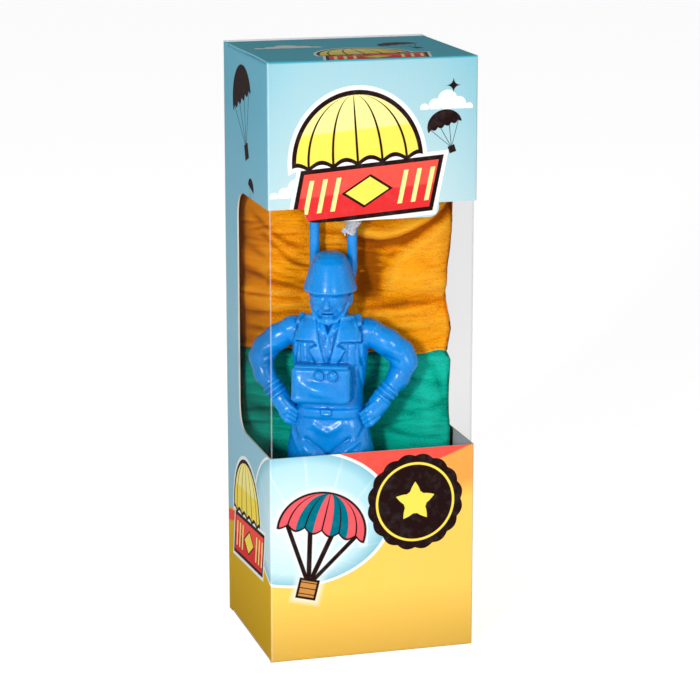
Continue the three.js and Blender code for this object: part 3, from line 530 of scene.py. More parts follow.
def rounded(corners, steps=6):
    """An outline whose corners are rounded, each given as (x, y, radius)."""
    points = []
    for index, (x, y, radius) in enumerate(corners):
        here = Vector((x, y))
        back = Vector(corners[index - 1][:2]) - here
        ahead = Vector(corners[(index + 1) % len(corners)][:2]) - here
        if radius <= 0:
            points.append((x, y))
            continue
        start, end = here + back.normalized() * radius, here + ahead.normalized() * radius
        for step in range(steps + 1):
            t = step / steps
            points.append(tuple(start * (1 - t) ** 2 + here * 2 * t * (1 - t) + end * t ** 2))
    return points


def blank_uv(u, v):
    return u * MM, (v + chart_lift) * MM


def blank_piece(name, loops, bend, cuts=(), rows=(), chart=None):
    """Board cut to the given loops on the flat blank, bent by bend(u, v, depth) to its place."""
    bm = bmesh.new()
    edges = []
    for loop in loops:
        verts = [bm.verts.new((u, v, 0)) for u, v in loop]
        edges += [bm.edges.new(pair) for pair in zip(verts, verts[1:] + verts[:1])]
    bmesh.ops.triangle_fill(bm, edges=edges, use_beauty=True, use_dissolve=False)
    for axis, places in ((0, cuts), (1, rows)):
        normal = [float(k == axis) for k in range(3)]
        for place in places:
            whole = bm.verts[:] + bm.edges[:] + bm.faces[:]
            point = [place * part for part in normal]
            bmesh.ops.bisect_plane(bm, geom=whole, plane_co=point, plane_no=normal, dist=1e-5)
    bmesh.ops.remove_doubles(bm, verts=bm.verts, dist=1e-4)
    bmesh.ops.recalc_face_normals(bm, faces=bm.faces)
    if sum(face.normal.z for face in bm.faces) < 0:
        bmesh.ops.reverse_faces(bm, faces=bm.faces)
    bm.verts.index_update()
    flat = [(vert.co.x, vert.co.y) for vert in bm.verts]
    outer = [tuple(vert.index for vert in face.verts) for face in bm.faces]
    borders = [edge.link_loops[0] for edge in bm.edges if len(edge.link_faces) == 1]
    rim = [(loop.vert.index, loop.link_loop_next.vert.index) for loop in borders]
    bm.free()
    count = len(flat)
    points = [bend(u, v, depth) for depth in (0.0, board) for u, v in flat]
    faces = outer + [tuple(i + count for i in reversed(face)) for face in outer]
    faces += [(b, a, a + count, b + count) for a, b in rim]
    marks = [0] * len(outer) + [1] * len(outer) + [2] * len(rim)
    uv = [blank_uv(*(chart(u, v) if chart else (u, v))) for u, v in flat] * 2
    made = piece_from(name, points, faces, board_finishes, uv, "blank", marks)
    settle(made, 32)
    return made


# Carton walls
wall_starts = [Vector(place) for place in ((-half_wide, half_deep), (-half_wide, -half_deep),
                                           (half_wide, -half_deep), (half_wide, half_deep))]
wall_ways = [Vector(way) for way in ((0, -1), (1, 0), (0, 1), (-1, 0))]
wall_outs = [Vector((way.y, -way.x)) for way in wall_ways]


def bend_wall(u, v, depth):
    """Place on the wrapped walls, depth in from the outside."""
    for corner in (1, 2, 3):
        near = (u - wall_turns[corner]) / corner_round
        if abs(near) < 1:
            middle = wall_starts[corner] + (wall_ways[corner] - wall_ways[corner - 1]) * corner_round
            angle = (near + 1) * math.pi / 4
            spoke = wall_outs[corner - 1] * math.cos(angle) + wall_outs[corner] * math.sin(angle)
            return (*(middle + spoke * (corner_round - depth)), v)
    wall = next(i for i in range(4) if u <= wall_turns[i + 1] + 1e-6)
    return (*(wall_starts[wall] + wall_ways[wall] * (u - wall_turns[wall]) - wall_outs[wall] * depth), v)


# The walls end at the fold strips, and reach round the ends of the flaps
side_end, front_end, corner_end = 2.4, 1.5, 0.4
window_reach = window_rear + half_deep
left_window, right_window = wall_turns[1] - window_reach, wall_turns[2] + window_reach
wall_outline = [(0.63, corner_end), (4.9, corner_end), (5.1, side_end)]
for turn, way in ((wall_turns[1], 1), (wall_turns[2], -1)):
    slit = [(turn - way * 1.9, side_end), (turn - way * 1.7, corner_end), (turn + way * 0.2, corner_end),
            (turn + way * 0.5, front_end)]
    wall_outline += slit[::way]
wall_outline += [(wall_turns[3] - 5.1, side_end), (wall_turns[3] - 4.9, corner_end),
                 (wall_turns[3] - 0.2, corner_end), (wall_turns[3] + 0.2, 0.0), (wall_turns[4], 0.0)]
wall_outline += [(u, carton_high - v) for u, v in reversed(wall_outline)]
tab_start, tab_end = front_middle + tab_left, front_middle + tab_right
window_outline = rounded([
    (left_window, window_low, window_round), (right_window, window_low, window_round),
    (right_window, window_top, window_round), (tab_end, window_top, 0), (tab_end, tab_low, tab_round),
    (tab_start, tab_low, tab_round), (tab_start, window_top, 0), (left_window, window_top, window_round),
], 10)
corner_cuts = [wall_turns[i] + corner_round * k / 4 for i in (1, 2, 3) for k in range(-4, 5)]
walls = blank_piece("carton_walls", [wall_outline, window_outline], bend_wall, corner_cuts,
                    [window_low - 1.0, window_top + 1.0])
# The cut edges at both ends are drawn in print, as the folds there wrap round them
for face in walls.data.polygons:
    at_end = abs(face.center.z / MM - carton_high / 2) > carton_high / 2 - 3
    if face.material_index == 2 and at_end:
        face.material_index = 0
belongs(walls, "carton", "printed_board", "carton_sleeve")

seam_low, seam_high, seam_wide = 18.0, 222.0, 13.0
seam_outline = rounded([(0, seam_low, 2), (seam_wide, seam_low, 5), (seam_wide, seam_high, 5),
                        (0, seam_high, 2)])
seam = blank_piece("seam_flap", [seam_outline],
                   lambda u, v, depth: (u - half_wide + board, half_deep - board - depth, v))
seam.data.materials[0] = finishes["inside"]
belongs(seam, "carton", "printed_board")


# Lid, bottom and their flaps
def end_closure(name, top):
    """Panel, tuck, dust flaps and fold strips of one end, turned over for the bottom."""
    up = 1.0 if top else -1.0
    level = carton_high if top else 0.0
    panel_node = name + ("_lid" if top else "_panel")
    half, front, reach, tuck_half, tuck_long, flap_long = half_wide - 0.4, 1.1, 68.9, 39.2, 12.6, 35
    lean, tuck_rear, flap_rear, flap_in, edge = math.radians(8), 70.4, 66.8, 1.2, -half_deep
    panel_level, flap_level = -0.35, -1.0

    def flip(x, y, z):
        return (x, y, level + up * z)

    def charted(u, beyond):
        """A place on the blank, beyond the end of the walls."""
        return u, level + up * beyond

    def panel_bend(u, v, depth):
        # the lid's panel bows up a little at its left
        rise = 0.35 * math.exp(-((u + half) / 12) ** 2) * math.exp(-((v - 22) / 16) ** 2)
        return flip(u, v + edge, panel_level + (min(rise, 0.3) if top else 0.0) - depth)

    def tuck_bend(u, v, depth):
        drop = v - 0.6
        y = tuck_rear + edge - drop * math.sin(lean) - depth * math.cos(lean)
        return flip(u, y, -drop * math.cos(lean) + depth * math.sin(lean))

    def flap_bend(side):
        return lambda u, v, depth: flip(side * (half_wide - u), v + edge, flap_level - depth)

    def flap_chart(side):
        start = wall_turns[1] if side < 0 else wall_turns[2]
        return lambda u, v: charted(start + side * v, u - 3 * (1 if top else 0))

    def board_part(node, body, outline, bend, chart, grid=(), rows=()):
        made = blank_piece(node + "_board", [outline], bend, grid, rows, chart)
        belongs(made, body, "printed_board", node)
        return made

    def tongue(wide, low, high, radius, steps):
        return rounded([(-wide, low, 0), (wide, low, 0), (wide, high, radius), (-wide, high, radius)], steps)

    panel = board_part(panel_node, panel_node, tongue(half, front, reach, 0.8, 3), panel_bend,
                       lambda u, v: charted(front_middle + u, v),
                       [-half + 2 * half * k / 16 for k in range(1, 16)],
                       [front + 67.0 * k / 14 for k in range(1, 14)])
    # the panel's edges show as print, as the folds wrap round them
    for face in panel.data.polygons:
        face.material_index %= 2
    board_part(name + "_tuck_flap", name + "_tuck", tongue(tuck_half, 1.2, tuck_long, 7, 8), tuck_bend,
               lambda u, v: charted(front_middle + u, 70 + v))
    for side, label in ((-1, "left"), (1, "right")):
        outline = rounded([(flap_in, 1.8, 0), (flap_long, 1.8 + 0.66 * flap_long, 6),
                           (flap_long, flap_rear, 6), (flap_in, flap_rear, 1.5)], 6)
        board_part(f"{name}_dust_flap_{label}", f"{name}_dust_{label}", outline, flap_bend(side),
                   flap_chart(side))

    def strip(label, axis, ends, profile, chart):
        """Board bent through a fold, from one profile point to the next about a third."""
        steps = 8
        start, end, outer = (Vector(point) for point in profile)
        centre = start + end - outer
        points, faces, marks, uv = [], [], [], []
        for step in range(steps + 1):
            angle = step / steps * math.pi / 2
            spoke = (start - centre) * math.cos(angle) + (end - centre) * math.sin(angle)
            inner = spoke.normalized() * max(spoke.length - board, 0.25)
            for place in ends:
                for rim in (spoke, inner):
                    spot = centre + rim
                    spot[axis] = place
                    points.append(flip(*spot))
                    uv.append(blank_uv(*chart(place, step / steps)))
        for a in range(0, steps * 4, 4):
            b = a + 4
            faces += [(a, a + 2, b + 2, b), (a + 1, b + 1, b + 3, a + 3), (a, b, b + 1, a + 1),
                      (a + 2, a + 3, b + 3, b + 2)]
            marks += [0, 1, 2, 2]
        last = steps * 4
        faces += [(0, 1, 3, 2), (last, last + 2, last + 3, last + 1)]
        made = piece_from(name + "_" + label, points, faces, board_finishes, uv, "blank", marks + [2, 2])
        settle(made, 40)
        ends_m = [tuple(c * MM for c in flip(*point)) for point in profile[:2]]
        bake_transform(made)

    strip("front_fold", 0, (-half, half),
          ((0, edge, -1.5), (0, edge + front, panel_level), (0, edge, panel_level)),
          lambda x, t: charted(front_middle + x, -1.5 + 2.4 * t))
    rear = reach + edge
    strip("tuck_fold", 0, (-tuck_half, tuck_half),
          ((0, rear, panel_level), (0, rear + 1.4, -1.0), (0, rear + 1.4, panel_level)),
          lambda x, t: charted(front_middle + x, 69 + 2 * t))
    for side, label in ((-1, "left"), (1, "right")):
        start = wall_turns[1] if side < 0 else wall_turns[2]
        outer = side * half_wide
        strip("side_fold_" + label, 1, (edge + 1.8, edge + flap_rear),
              ((outer, 0, -side_end), (outer - side * flap_in, 0, flap_level), (outer, 0, flap_level)),
              lambda y, t, side=side, start=start: charted(start + side * (y - edge), -3 + 1.8 * t))


end_closure("top", True)
end_closure("bottom", False)


# Window film
def grid_faces(rows, columns, first=0, flip=False):
    """Faces of a grid whose points run along each row in turn."""
    faces = []
    for row in range(rows - 1):
        for column in range(columns - 1):
            a = first + row * columns + column
            b, c, d = a + 1, a + 1 + columns, a + columns
            faces.append((a, d, c, b) if flip else (a, b, c, d))
    return faces


def window_film():
    """One clear sheet that runs behind the walls' edges, round the front and both sides."""
    thick, margin, bend_round, swell_high = 0.25, 8.0, 1.0, 0.12
    out_x, out_y = half_wide - board - 0.05, half_deep - board - 0.05
    side_long = window_rear + margin + out_y - bend_round
    path = [(-out_x, window_rear + margin - k * side_long / 14) for k in range(15)]
    path += [(-out_x + bend_round * (1 - math.cos(a)), -out_y + bend_round * (1 - math.sin(a)))
             for a in (math.pi / 16 * k for k in range(1, 9))]
    path += [((out_x - bend_round) * (k / 9 - 1), -out_y) for k in range(1, 9)]
    path += [(0.0, -out_y)] + [(-x, y) for x, y in reversed(path)]
    low, high, rows = window_low - margin, window_top + margin, 27
    count = len(path)
    points = []
    for depth in (0.0, thick):
        for z in np.linspace(low, high, rows):
            for index, (x, y) in enumerate(path):
                before, after = path[max(index - 1, 0)], path[min(index + 1, count - 1)]
                way = (Vector(after) - Vector(before)).normalized()
                swell = swell_high * math.sin(z * 0.06 + x * 0.05) * math.sin(x * 0.04 + 1.1) ** 2
                sink = depth + max(swell, 0.0) * (1 if abs(x) < 38 else 0)
                points.append((x - way.y * sink, y + way.x * sink, z))
    layer = rows * count
    faces = grid_faces(rows, count) + grid_faces(rows, count, layer, True)
    rim = list(range(count)) + [count * row - 1 for row in range(2, rows + 1)]
    rim += list(range(layer - 2, layer - count - 1, -1)) + [count * row for row in range(rows - 2, 0, -1)]
    faces += [(b, a, a + layer, b + layer) for a, b in zip(rim, rim[1:] + rim[:1])]
    made = piece_from("clear_window", points, faces, ("film",))
    settle(made, 50)
    belongs(made, "carton", "clear_film", "window_film")


window_film()


# Figure, as fields of distance on a grid, in its own frame: facing -Y, soles at zero
def melt(a, b, soft):
    """The nearer of two distances, rounded where they meet."""
    share = np.clip(0.5 + 0.5 * (b - a) / soft, 0, 1)
    return b + (a - b) * share - soft * share * (1 - share)


def softened(grid, weights):
    """The grid averaged with its neighbours along every axis, by these weights."""
    reach = len(weights) // 2
    for axis in range(grid.ndim):
        size = grid.shape[axis]
        padded = np.pad(grid, [(reach, reach) if k == axis else (0, 0) for k in range(grid.ndim)], "edge")
        grid = sum(weight * padded[(slice(None),) * axis + (slice(i, i + size),)]
                   for i, weight in enumerate(weights / weights.sum()))
    return grid


class Body:
    """Signed distances on a regular grid. While side is -1, shapes and their boxes are mirrored in X."""

    def __init__(self, low, high, step):
        self.step, self.side = step, 1
        self.axes = [np.arange(a, b + step, step, dtype=np.float32) for a, b in zip(low, high)]
        self.value = np.full([len(axis) for axis in self.axes], 40.0, np.float32)

    def part(self, low, high):
        """The cells in a box, and where they are."""
        if self.side < 0:
            low, high = (-high[0], *low[1:]), (-low[0], *high[1:])
        cut = tuple(slice(*np.searchsorted(axis, ends)) for axis, *ends in zip(self.axes, low, high))
        x, y, z = np.meshgrid(*[axis[c] for axis, c in zip(self.axes, cut)], indexing="ij", sparse=True)
        return cut, (x * self.side, y, z)

    def add(self, shape, low, high, soft=0.8, way=1):
        cut, grid = self.part(low, high)
        self.value[cut] = way * melt(way * self.value[cut], shape(*grid).astype(np.float32), soft)

    def carve(self, shape, low, high, soft=0.3):
        self.add(shape, low, high, soft, -1)

    def press(self, relief, low, high):
        """Raises or sinks the surface by a height in millimetres."""
        cut, grid = self.part(low, high)
        self.value[cut] -= relief(*grid).astype(np.float32)

    def surface(self, name):
        """The zero surface as a mesh piece, with one point in each cell that it crosses."""
        v = self.value
        inside = v < 0
        corners = [(i, j, k) for i in (0, 1) for j in (0, 1) for k in (0, 1)]
        cells = tuple(n - 1 for n in v.shape)
        count = sum(inside[tuple(slice(a, a + n) for a, n in zip(corner, cells))].astype(np.int8)
                    for corner in corners)
        live = np.argwhere((count > 0) & (count < 8))
        number = np.full(cells, -1, np.int64)
        number[tuple(live.T)] = np.arange(len(live))
        total, hits = np.zeros((len(live), 3)), np.zeros(len(live))
        faces = []
        for axis in range(3):
            along = (np.arange(3) == axis).astype(int)
            for start in (corner for corner in corners if not corner[axis]):
                a, b = v[tuple((live + start).T)], v[tuple((live + start + along).T)]
                crossed = (a < 0) != (b < 0)
                t = np.where(crossed, a / np.where(crossed, a - b, 1), 0)
                total += (live + start + t[:, None] * along) * crossed[:, None]
                hits += crossed
            first, second = (inside[(slice(None),) * axis + (cut,)] for cut in (slice(0, -1), slice(1, None)))
            b, c = (axis + 1) % 3, (axis + 2) % 3
            edges = np.argwhere(first != second)
            within = (edges[:, (b, c)] > 0).all(1) & (edges[:, b] < cells[b]) & (edges[:, c] < cells[c])
            edges = edges[within]
            ring = []
            for db, dc in ((0, 0), (-1, 0), (-1, -1), (0, -1)):
                at = edges.copy()
                at[:, b] += db
                at[:, c] += dc
                ring.append(number[tuple(at.T)])
            ring = np.stack(ring, 1)
            faces.append(np.where(first[tuple(edges.T)][:, None], ring, ring[:, ::-1]))
        spots = total / hits[:, None]
        share = spots - live
        spots = spots * self.step + [axis[0] for axis in self.axes]
        made = piece_from(name, figure_to_carton(spots), np.concatenate(faces).tolist(), ("figure",))

        # raised edges count above zero and creases below, for the material's painted highlight and painted
        # shade
        near = np.clip(v, -4, 4)
        relief = 0.0
        for wide, gain, weight in ((1.0, 3.2, 0.65), (2.4, 1.1, 0.5)):
            reach = max(round(wide / self.step), 1)
            weights = np.exp(-2 * (np.arange(-reach, reach + 1) / reach) ** 2).astype(np.float32)
            change = softened(near, weights) - near
            here = sum(np.prod(np.where(corner, share, 1 - share), axis=1) * change[tuple((live + corner).T)]
                       for corner in corners)
            relief = relief + weight * np.tanh(gain * here)
        mark(made, "relief", relief)
        return made


def stack(rows, square=2.6):
    """Level rings: height, half width, front depth, back depth."""
    high, wide, front, back = np.array(rows, float).T

    def shape(x, y, z):
        a = np.interp(z, high, wide)
        deep = np.where(y < 0, np.interp(z, high, front), np.interp(z, high, back))
        reach = (np.abs(x / a) ** square + np.abs(y / deep) ** square) ** (1 / square)
        side = (reach - 1) * np.minimum(a, deep)
        return np.maximum(side, np.maximum(z - high[-1], high[0] - z))
    return shape


def limb(stations, soft=1.0, flat=1.0):
    """A chain of tapered rods through (x, y, z, radius); flat squeezes it in depth."""
    rows = np.array(stations, float)

    def shape(x, y, z):
        best = None
        for a, b in zip(rows, rows[1:]):
            way = b[:3] - a[:3]
            span = max(float(way @ way), 1e-6)
            t = np.clip(((x - a[0]) * way[0] + (y - a[1]) * way[1] + (z - a[2]) * way[2]) / span, 0, 1)
            far = np.sqrt((x - a[0] - t * way[0]) ** 2 + ((y - a[1] - t * way[1]) / flat) ** 2
                          + (z - a[2] - t * way[2]) ** 2) - (a[3] + (b[3] - a[3]) * t)
            best = far if best is None else melt(best, far, soft)
        return best
    return shape


def block(middle, size, radius, lean=0.0):
    """A box with rounded edges, leaned about X."""
    half = np.array(size) / 2 - radius
    ca, sa = math.cos(lean), math.sin(lean)

    def shape(x, y, z):
        u, v, w = x - middle[0], y - middle[1], z - middle[2]
        v, w = v * ca + w * sa, w * ca - v * sa
        q = [np.abs(u) - half[0], np.abs(v) - half[1], np.abs(w) - half[2]]
        out = np.sqrt(sum(np.maximum(part, 0) ** 2 for part in q))
        return out + np.minimum(np.maximum(np.maximum(q[0], q[1]), q[2]), 0) - radius
    return shape


def egg(middle, radii):
    def shape(x, y, z):
        reach = np.sqrt(sum(((c - m) / r) ** 2 for c, m, r in zip((x, y, z), middle, radii)))
        return (reach - 1) * min(radii)
    return shape


def ring_round(a, b, radius, thick):
    """A ring of round section about the line from a to b."""
    middle, way = (a + b) / 2, (b - a).normalized()

    def shape(x, y, z):
        u, v, w = x - middle.x, y - middle.y, z - middle.z
        along = u * way.x + v * way.y + w * way.z
        out = np.sqrt(np.maximum(u * u + v * v + w * w - along * along, 0))
        return np.sqrt((out - radius) ** 2 + along ** 2) - thick
    return shape


def smooth_step(value, low, high):
    t = np.clip((value - low) / (high - low), 0, 1)
    return t * t * (3 - 2 * t)


def stroke_distance(x, z, points):
    best = None
    for (ax, az), (bx, bz) in zip(points, points[1:]):
        wx, wz = bx - ax, bz - az
        t = np.clip(((x - ax) * wx + (z - az) * wz) / max(wx * wx + wz * wz, 1e-6), 0, 1)
        far = np.sqrt((x - ax - t * wx) ** 2 + (z - az - t * wz) ** 2)
        best = far if best is None else np.minimum(best, far)
    return best


def stroked(x, z, rows):
    """The sum of soft strokes, each a height, a half width and points (x, z)."""
    return sum(rise * np.exp(-(stroke_distance(x, z, points) / wide) ** 2) for rise, wide, points in rows)


def mirrored(*rows):
    """Strokes and the same strokes on the other side."""
    return [(rise, wide, [(side * x, z) for x, z in points])
            for side in (1, -1) for rise, wide, points in rows]


def strokes(rows, front=True):
    """Folds and seams drawn on the front or back."""
    def relief(x, y, z):
        return stroked(x, z, rows) / (1 + np.exp((y if front else -y) * 1.4))
    return relief


def patch(outline, rise, edge=0.35):
    """A flat raised patch on the front, within an outline of (x, z)."""
    closed = outline + outline[:1]

    def relief(x, y, z):
        inside = np.zeros(np.broadcast(x, z).shape, bool)
        xx, zz = np.broadcast_to(x, inside.shape), np.broadcast_to(z, inside.shape)
        for (ax, az), (bx, bz) in zip(closed, closed[1:]):
            if az != bz:
                cross = (zz < az) != (zz < bz)
                inside ^= cross & (xx < ax + (zz - az) * (bx - ax) / (bz - az))
        far = stroke_distance(xx, zz, closed)
        level = (1 + np.tanh(np.where(inside, far, -far) / edge)) / 2
        return rise * level / (1 + np.exp(y * 1.4))
    return relief


def figure_to_carton(spots):
    c, s = math.cos(figure_turn), math.sin(figure_turn)
    x, y, z = spots.T
    return np.stack([figure_x + x * c + y * s, figure_y - x * s + y * c, floor_z + z], 1)


def up(share):
    return share * figure_high


def figure_legs():
    f = Body((-18.5, -18, -2), (18.5, 12, 80), 0.66)
    deep, calf, low, high = 17.0, 16.8, (0, -18, -2), (19, 11, 90)
    foot, ankle = .97 * 8.2, .05 * deep
    # shares of the leg's place and size: across, back, height, radius
    leg = [(1, .02, .525, .70), (1.02, .01, .49, 1), (1, 0, .42, .99), (.98, -.02, .34, .84),
           (.96, -.02, .28, .76), (.95, .03, .20, .78), (.94, .05, .13, .66), (.94, .05, .05, .62)]
    # shares of the boot from heel to toe: along, half width, height
    boots = [(0, .40, .058), (.10, .82, .075), (.35, .90, .082), (.58, .96, .062), (.82, 1, .044),
             (.95, .78, .034), (1, .40, .024)]
    along, across, height = np.array([(9.2 - a * 25, w * 4.8, up(h)) for a, w, h in boots])[::-1].T

    def boot(x, y, z, grow=0.0, ceiling=99.0):
        half = np.interp(y, along, across) + grow
        top = np.minimum(np.interp(y, along, height) + grow, ceiling)
        r = (np.abs((x - foot) / half) ** 3 + np.abs((z - top / 2) / (top / 2)) ** 3) ** (1 / 3)
        ends = np.maximum(along[0] - grow - y, y - along[-1] - grow)
        return np.maximum((r - 1) * np.minimum(half, top / 2), ends)

    for f.side in (-1, 1):
        f.add(limb([(a * 8.2, b * deep, up(h), t * 8.4) for a, b, h, t in leg], 3.0), low, high, 1.2)
        # trouser creases
        f.press(strokes([
            (0.5, 1.2, [(3, 74), (9, 68), (14, 67)]), (0.45, 1.1, [(2, 66), (8, 61), (13, 59)]),
            (0.5, 1.0, [(3, 47), (8, 44), (13, 46)]), (-0.5, 1.0, [(3, 44), (8, 41), (13, 42.5)]),
            (0.45, 1.0, [(4, 33), (9, 30), (13, 32)]), (-0.35, 0.45, [(14, 82), (13.2, 52), (12.2, 28)]),
        ]), low, high)
        # boot, its sole, laces, toe cap and two cuffs
        f.add(boot, low, (19, 11, 30), 1.2)
        f.add(lambda x, y, z: boot(x, y, z, 0.42, 2.0), low, (19, 11, 6), 0.15)
        for step in range(4):
            y, z = -3.5 + step * 2.1, 8.2 + step * 1.6
            f.add(limb([(foot - 2.3, y, z, .5), (foot, y - 0.3, z + 0.7, .5), (foot + 2.3, y, z, .5)], .2),
                  low, high, 0.25)
        f.press(lambda x, y, z: (-0.35 * np.exp(-((y + 10.2 - ((x - foot) / 4) ** 2) / 0.45) ** 2)
                                 * (z < 9) * (y < -6)), low, high)
        for start, end, wide, wide_end, soft in ((.158, .170, .40, .42, 0.35), (.150, .152, .385, .385, 0.3)):
            f.add(limb([(foot, ankle, up(start), wide * calf), (foot, ankle, up(end), wide_end * calf)], .1),
                  low, high, soft)
    return f.surface("figure_legs")


def figure_body():
    f = Body((-36, -18.5, 66.5), (37, 18.5, 134), 0.45)
    deep, wide = 17.0, 30.4
    trunk = [(.455, .40, .36, .44), (.487, .50, .44, .50), (.512, .515, .46, .53), (.553, .50, .49, .53),
             (.590, .43, .45, .46), (.640, .435, .47, .44), (.690, .475, .52, .47), (.740, .50, .54, .48),
             (.780, .49, .50, .46), (.808, .40, .42, .40), (.830, .26, .32, .30)]
    f.add(stack([(up(h), a * wide, b * deep, c * deep) for h, a, b, c in trunk]),
          (-18, -12, 66), (18, 12, 133))
    f.add(limb([(0, 0.5, 126, 6.2), (0, 0, 133, 4.9), (0, -0.6, 140, 4.8)], 2),
          (-9, -9, 118), (9, 9, 133), 2.5)
    # coat skirt, drawn in at the crotch between the thighs
    f.add(stack([(68, 16.0, 7.6, 9.4), (74, 16.7, 8.4, 9.6), (82, 15.9, 8.5, 9.2), (92, 13.3, 7.8, 8.0)]),
          (-19, -12, 66), (19, 12, 93), 1.5)
    for f.side in (-1, 1):
        f.add(limb([(7.4, -1.0, 86, 6.4), (8.0, -1.2, 76, 8.6), (8.0, -0.8, 66, 8.2)], 1),
              (0, -13, 64), (19, 11, 92), 2.0)
    arms = {
        -1: [(9.5, 1.0, 127.2, 4.2), (15.2, 1.2, 125.6, 5.0), (21.5, 1.5, 121.9, 5.1),
             (26.4, 1.6, 117.4, 5.0), (28.2, 1.4, 113.4, 4.9), (26.8, 0.0, 106.8, 4.1),
             (22.6, -1.8, 101.6, 3.25), (20.3, -2.5, 99.2, 3.1), (18.3, -3.2, 97.0, 3.1)],
        1: [(9.5, 1.0, 127.2, 4.2), (15.8, 1.2, 125.0, 5.2), (22.8, 1.5, 121.0, 5.4),
            (28.0, 1.6, 116.9, 5.4), (29.7, 1.4, 113.4, 5.2), (27.4, 0.0, 107.0, 4.4),
            (23.6, -1.8, 102.0, 3.4), (21.0, -2.5, 99.4, 3.2), (19.0, -3.2, 97.2, 3.2)],
    }
    box = ((8, -13, 86), (37, 9, 134))
    for f.side, arm in arms.items():
        f.add(limb(arm, 1.4, 0.95), *box, 1.2)
        # crumples inside the elbow
        elbow_x, _, elbow_z, _ = arm[4]
        f.press(strokes([
            (rise, 0.9, [(elbow_x - shift, elbow_z + drop), (elbow_x - shift + 5.5, elbow_z + drop - 1.9)])
            for rise, shift, drop in ((-0.5, 7.6, 3.0), (-0.4, 7.2, -0.7), (0.35, 6.6, 6.1))
        ]), *box)
        # cuff rings along the forearm
        way = (Vector(arm[7][:3]) - Vector(arm[5][:3])).normalized()
        middle = Vector(arm[6][:3]) + way * 1.2
        for shift, radius in ((-2.2, 3.7), (0.0, 3.6), (2.2, 3.5)):
            f.add(ring_round(middle + way * (shift - 0.3), middle + way * (shift + 0.3), radius, 0.68),
                  *box, 0.12)
        # hand on the hip: back of the hand, four fingers and the thumb, as shares of the elbow's reach
        reach = elbow_x / 0.838
        f.add(limb([(.60 * reach, -.205 * deep, up(.613), 3.1), (.50 * reach, -.27 * deep, up(.592), 3.7)],
                   1, 0.85), *box, 1.0)
        for lift in (-2.925, -0.975, 0.975, 2.925):
            f.add(limb([(.545 * reach - lift * .25, -.285 * deep - .7, up(.600) + lift * .95, 1.15),
                        (.465 * reach - lift * .30, -.33 * deep - .9, up(.583) + lift * .9, 1.2),
                        (.400 * reach - lift * .28, -.335 * deep - .3, up(.573) + lift * .85, 1.0)], 0.4),
                  *box, 0.22)
        thumb = [(.52 * reach, -.12 * deep, up(.608), 1.6), (.43 * reach, .05 * deep, up(.602), 1.3)]
        f.add(limb(thumb, 0.4), *box, 0.5)
        # shoulder seam and harness strap
        f.press(strokes([(-0.45, 0.55, [(13.6, 133), (12.6, 127), (12.4, 120), (13.6, 113)]),
                         (-0.35, 0.5, [(12.2, 112), (13.4, 100)]), (0.3, 0.9, [(21, 131), (17, 126)])]),
                (8, -13, 92), (26, 9, 134))
        strap = [(.80, -.20, .818), (.74, -.02, .830), (.68, .32, .818), (.60, .46, .780)]
        f.add(limb([(a * wide / 2, b * deep, up(h) + 0.2, 1.2) for a, b, h in strap], 1.0, 1.0),
              (4, -12, 112), (16, 12, 134), 0.7)
    # chest: shirt, tie, lapels, coat front and pocket flaps
    chest = ((-16, -13, 92), (16, 4, 133))
    tie_half = [(0.9, 126.2), (0.7, 124.6), (1.7, 118.5)]
    f.press(patch([(-4.2, 132), (4.2, 132), (0.6, 112)], -1.0, 0.4), *chest)
    f.press(patch([(-3.4, 133.5), (3.4, 133.5), (0, 125.6)], -2.0, 0.35), *chest)
    f.press(patch(tie_half + [(0, 113.8)] + [(-x, z) for x, z in reversed(tie_half)], 0.7, 0.25), *chest)
    for f.side in (-1, 1):
        f.press(patch([(0.1, 126.4), (3.2, 132.2), (4.6, 132.2), (4.0, 128), (1.6, 124.2)], 0.9, 0.2), *chest)
        f.press(patch([(5.2, 133), (9.2, 133), (13.4, 125.6), (13.2, 122.6), (6.0, 123.0), (4.4, 121.4),
                       (7.4, 119.6), (4.2, 114.2), (0.5, 112.4), (3.2, 122.5)], 1.3, 0.16), *chest)
        f.press(strokes([
            (-0.6, 0.42, [(13.3, 122.2), (6.0, 122.6), (4.2, 121.2)]),
            (-0.45, 0.38, [(11.4, 121.6), (10.6, 104)]), (-0.4, 0.35, [(8.6, 121.8), (8.0, 114.8)]),
            (-0.4, 0.35, [(5.2, 114.6), (4.6, 104)]), (0.35, 1.4, [(12.5, 117), (9, 111)]),
            (-0.45, 0.4, [(2.5, 111.6), (11.6, 112.8)]),
        ]), *chest)
    f.press(strokes([(-0.4, 0.4, [(0.2, 112), (0.2, 96)])]), *chest)

    # belt with its buckle
    belt = [(.574, .0, .0), (.580, .035, .05), (.598, .035, .05), (.603, .0, .0)]
    buckle = ((-8, -12, 88), (9, -5, 100))
    f.add(stack([(up(h), 13.3 + s * deep, 8.0 + b * deep, 8.0 + b * deep) for h, s, b in belt]),
          (-17, -12, 90), (17, 12, 98), 0.3)
    f.add(block((-0.4, -9.3, 93.9), (4.4, 1.5, 2.4), 0.5), *buckle, 0.2)
    f.carve(block((-0.4, -10.2, 93.9), (2.6, 0.9, 1.0), 0.2), *buckle, 0.2)

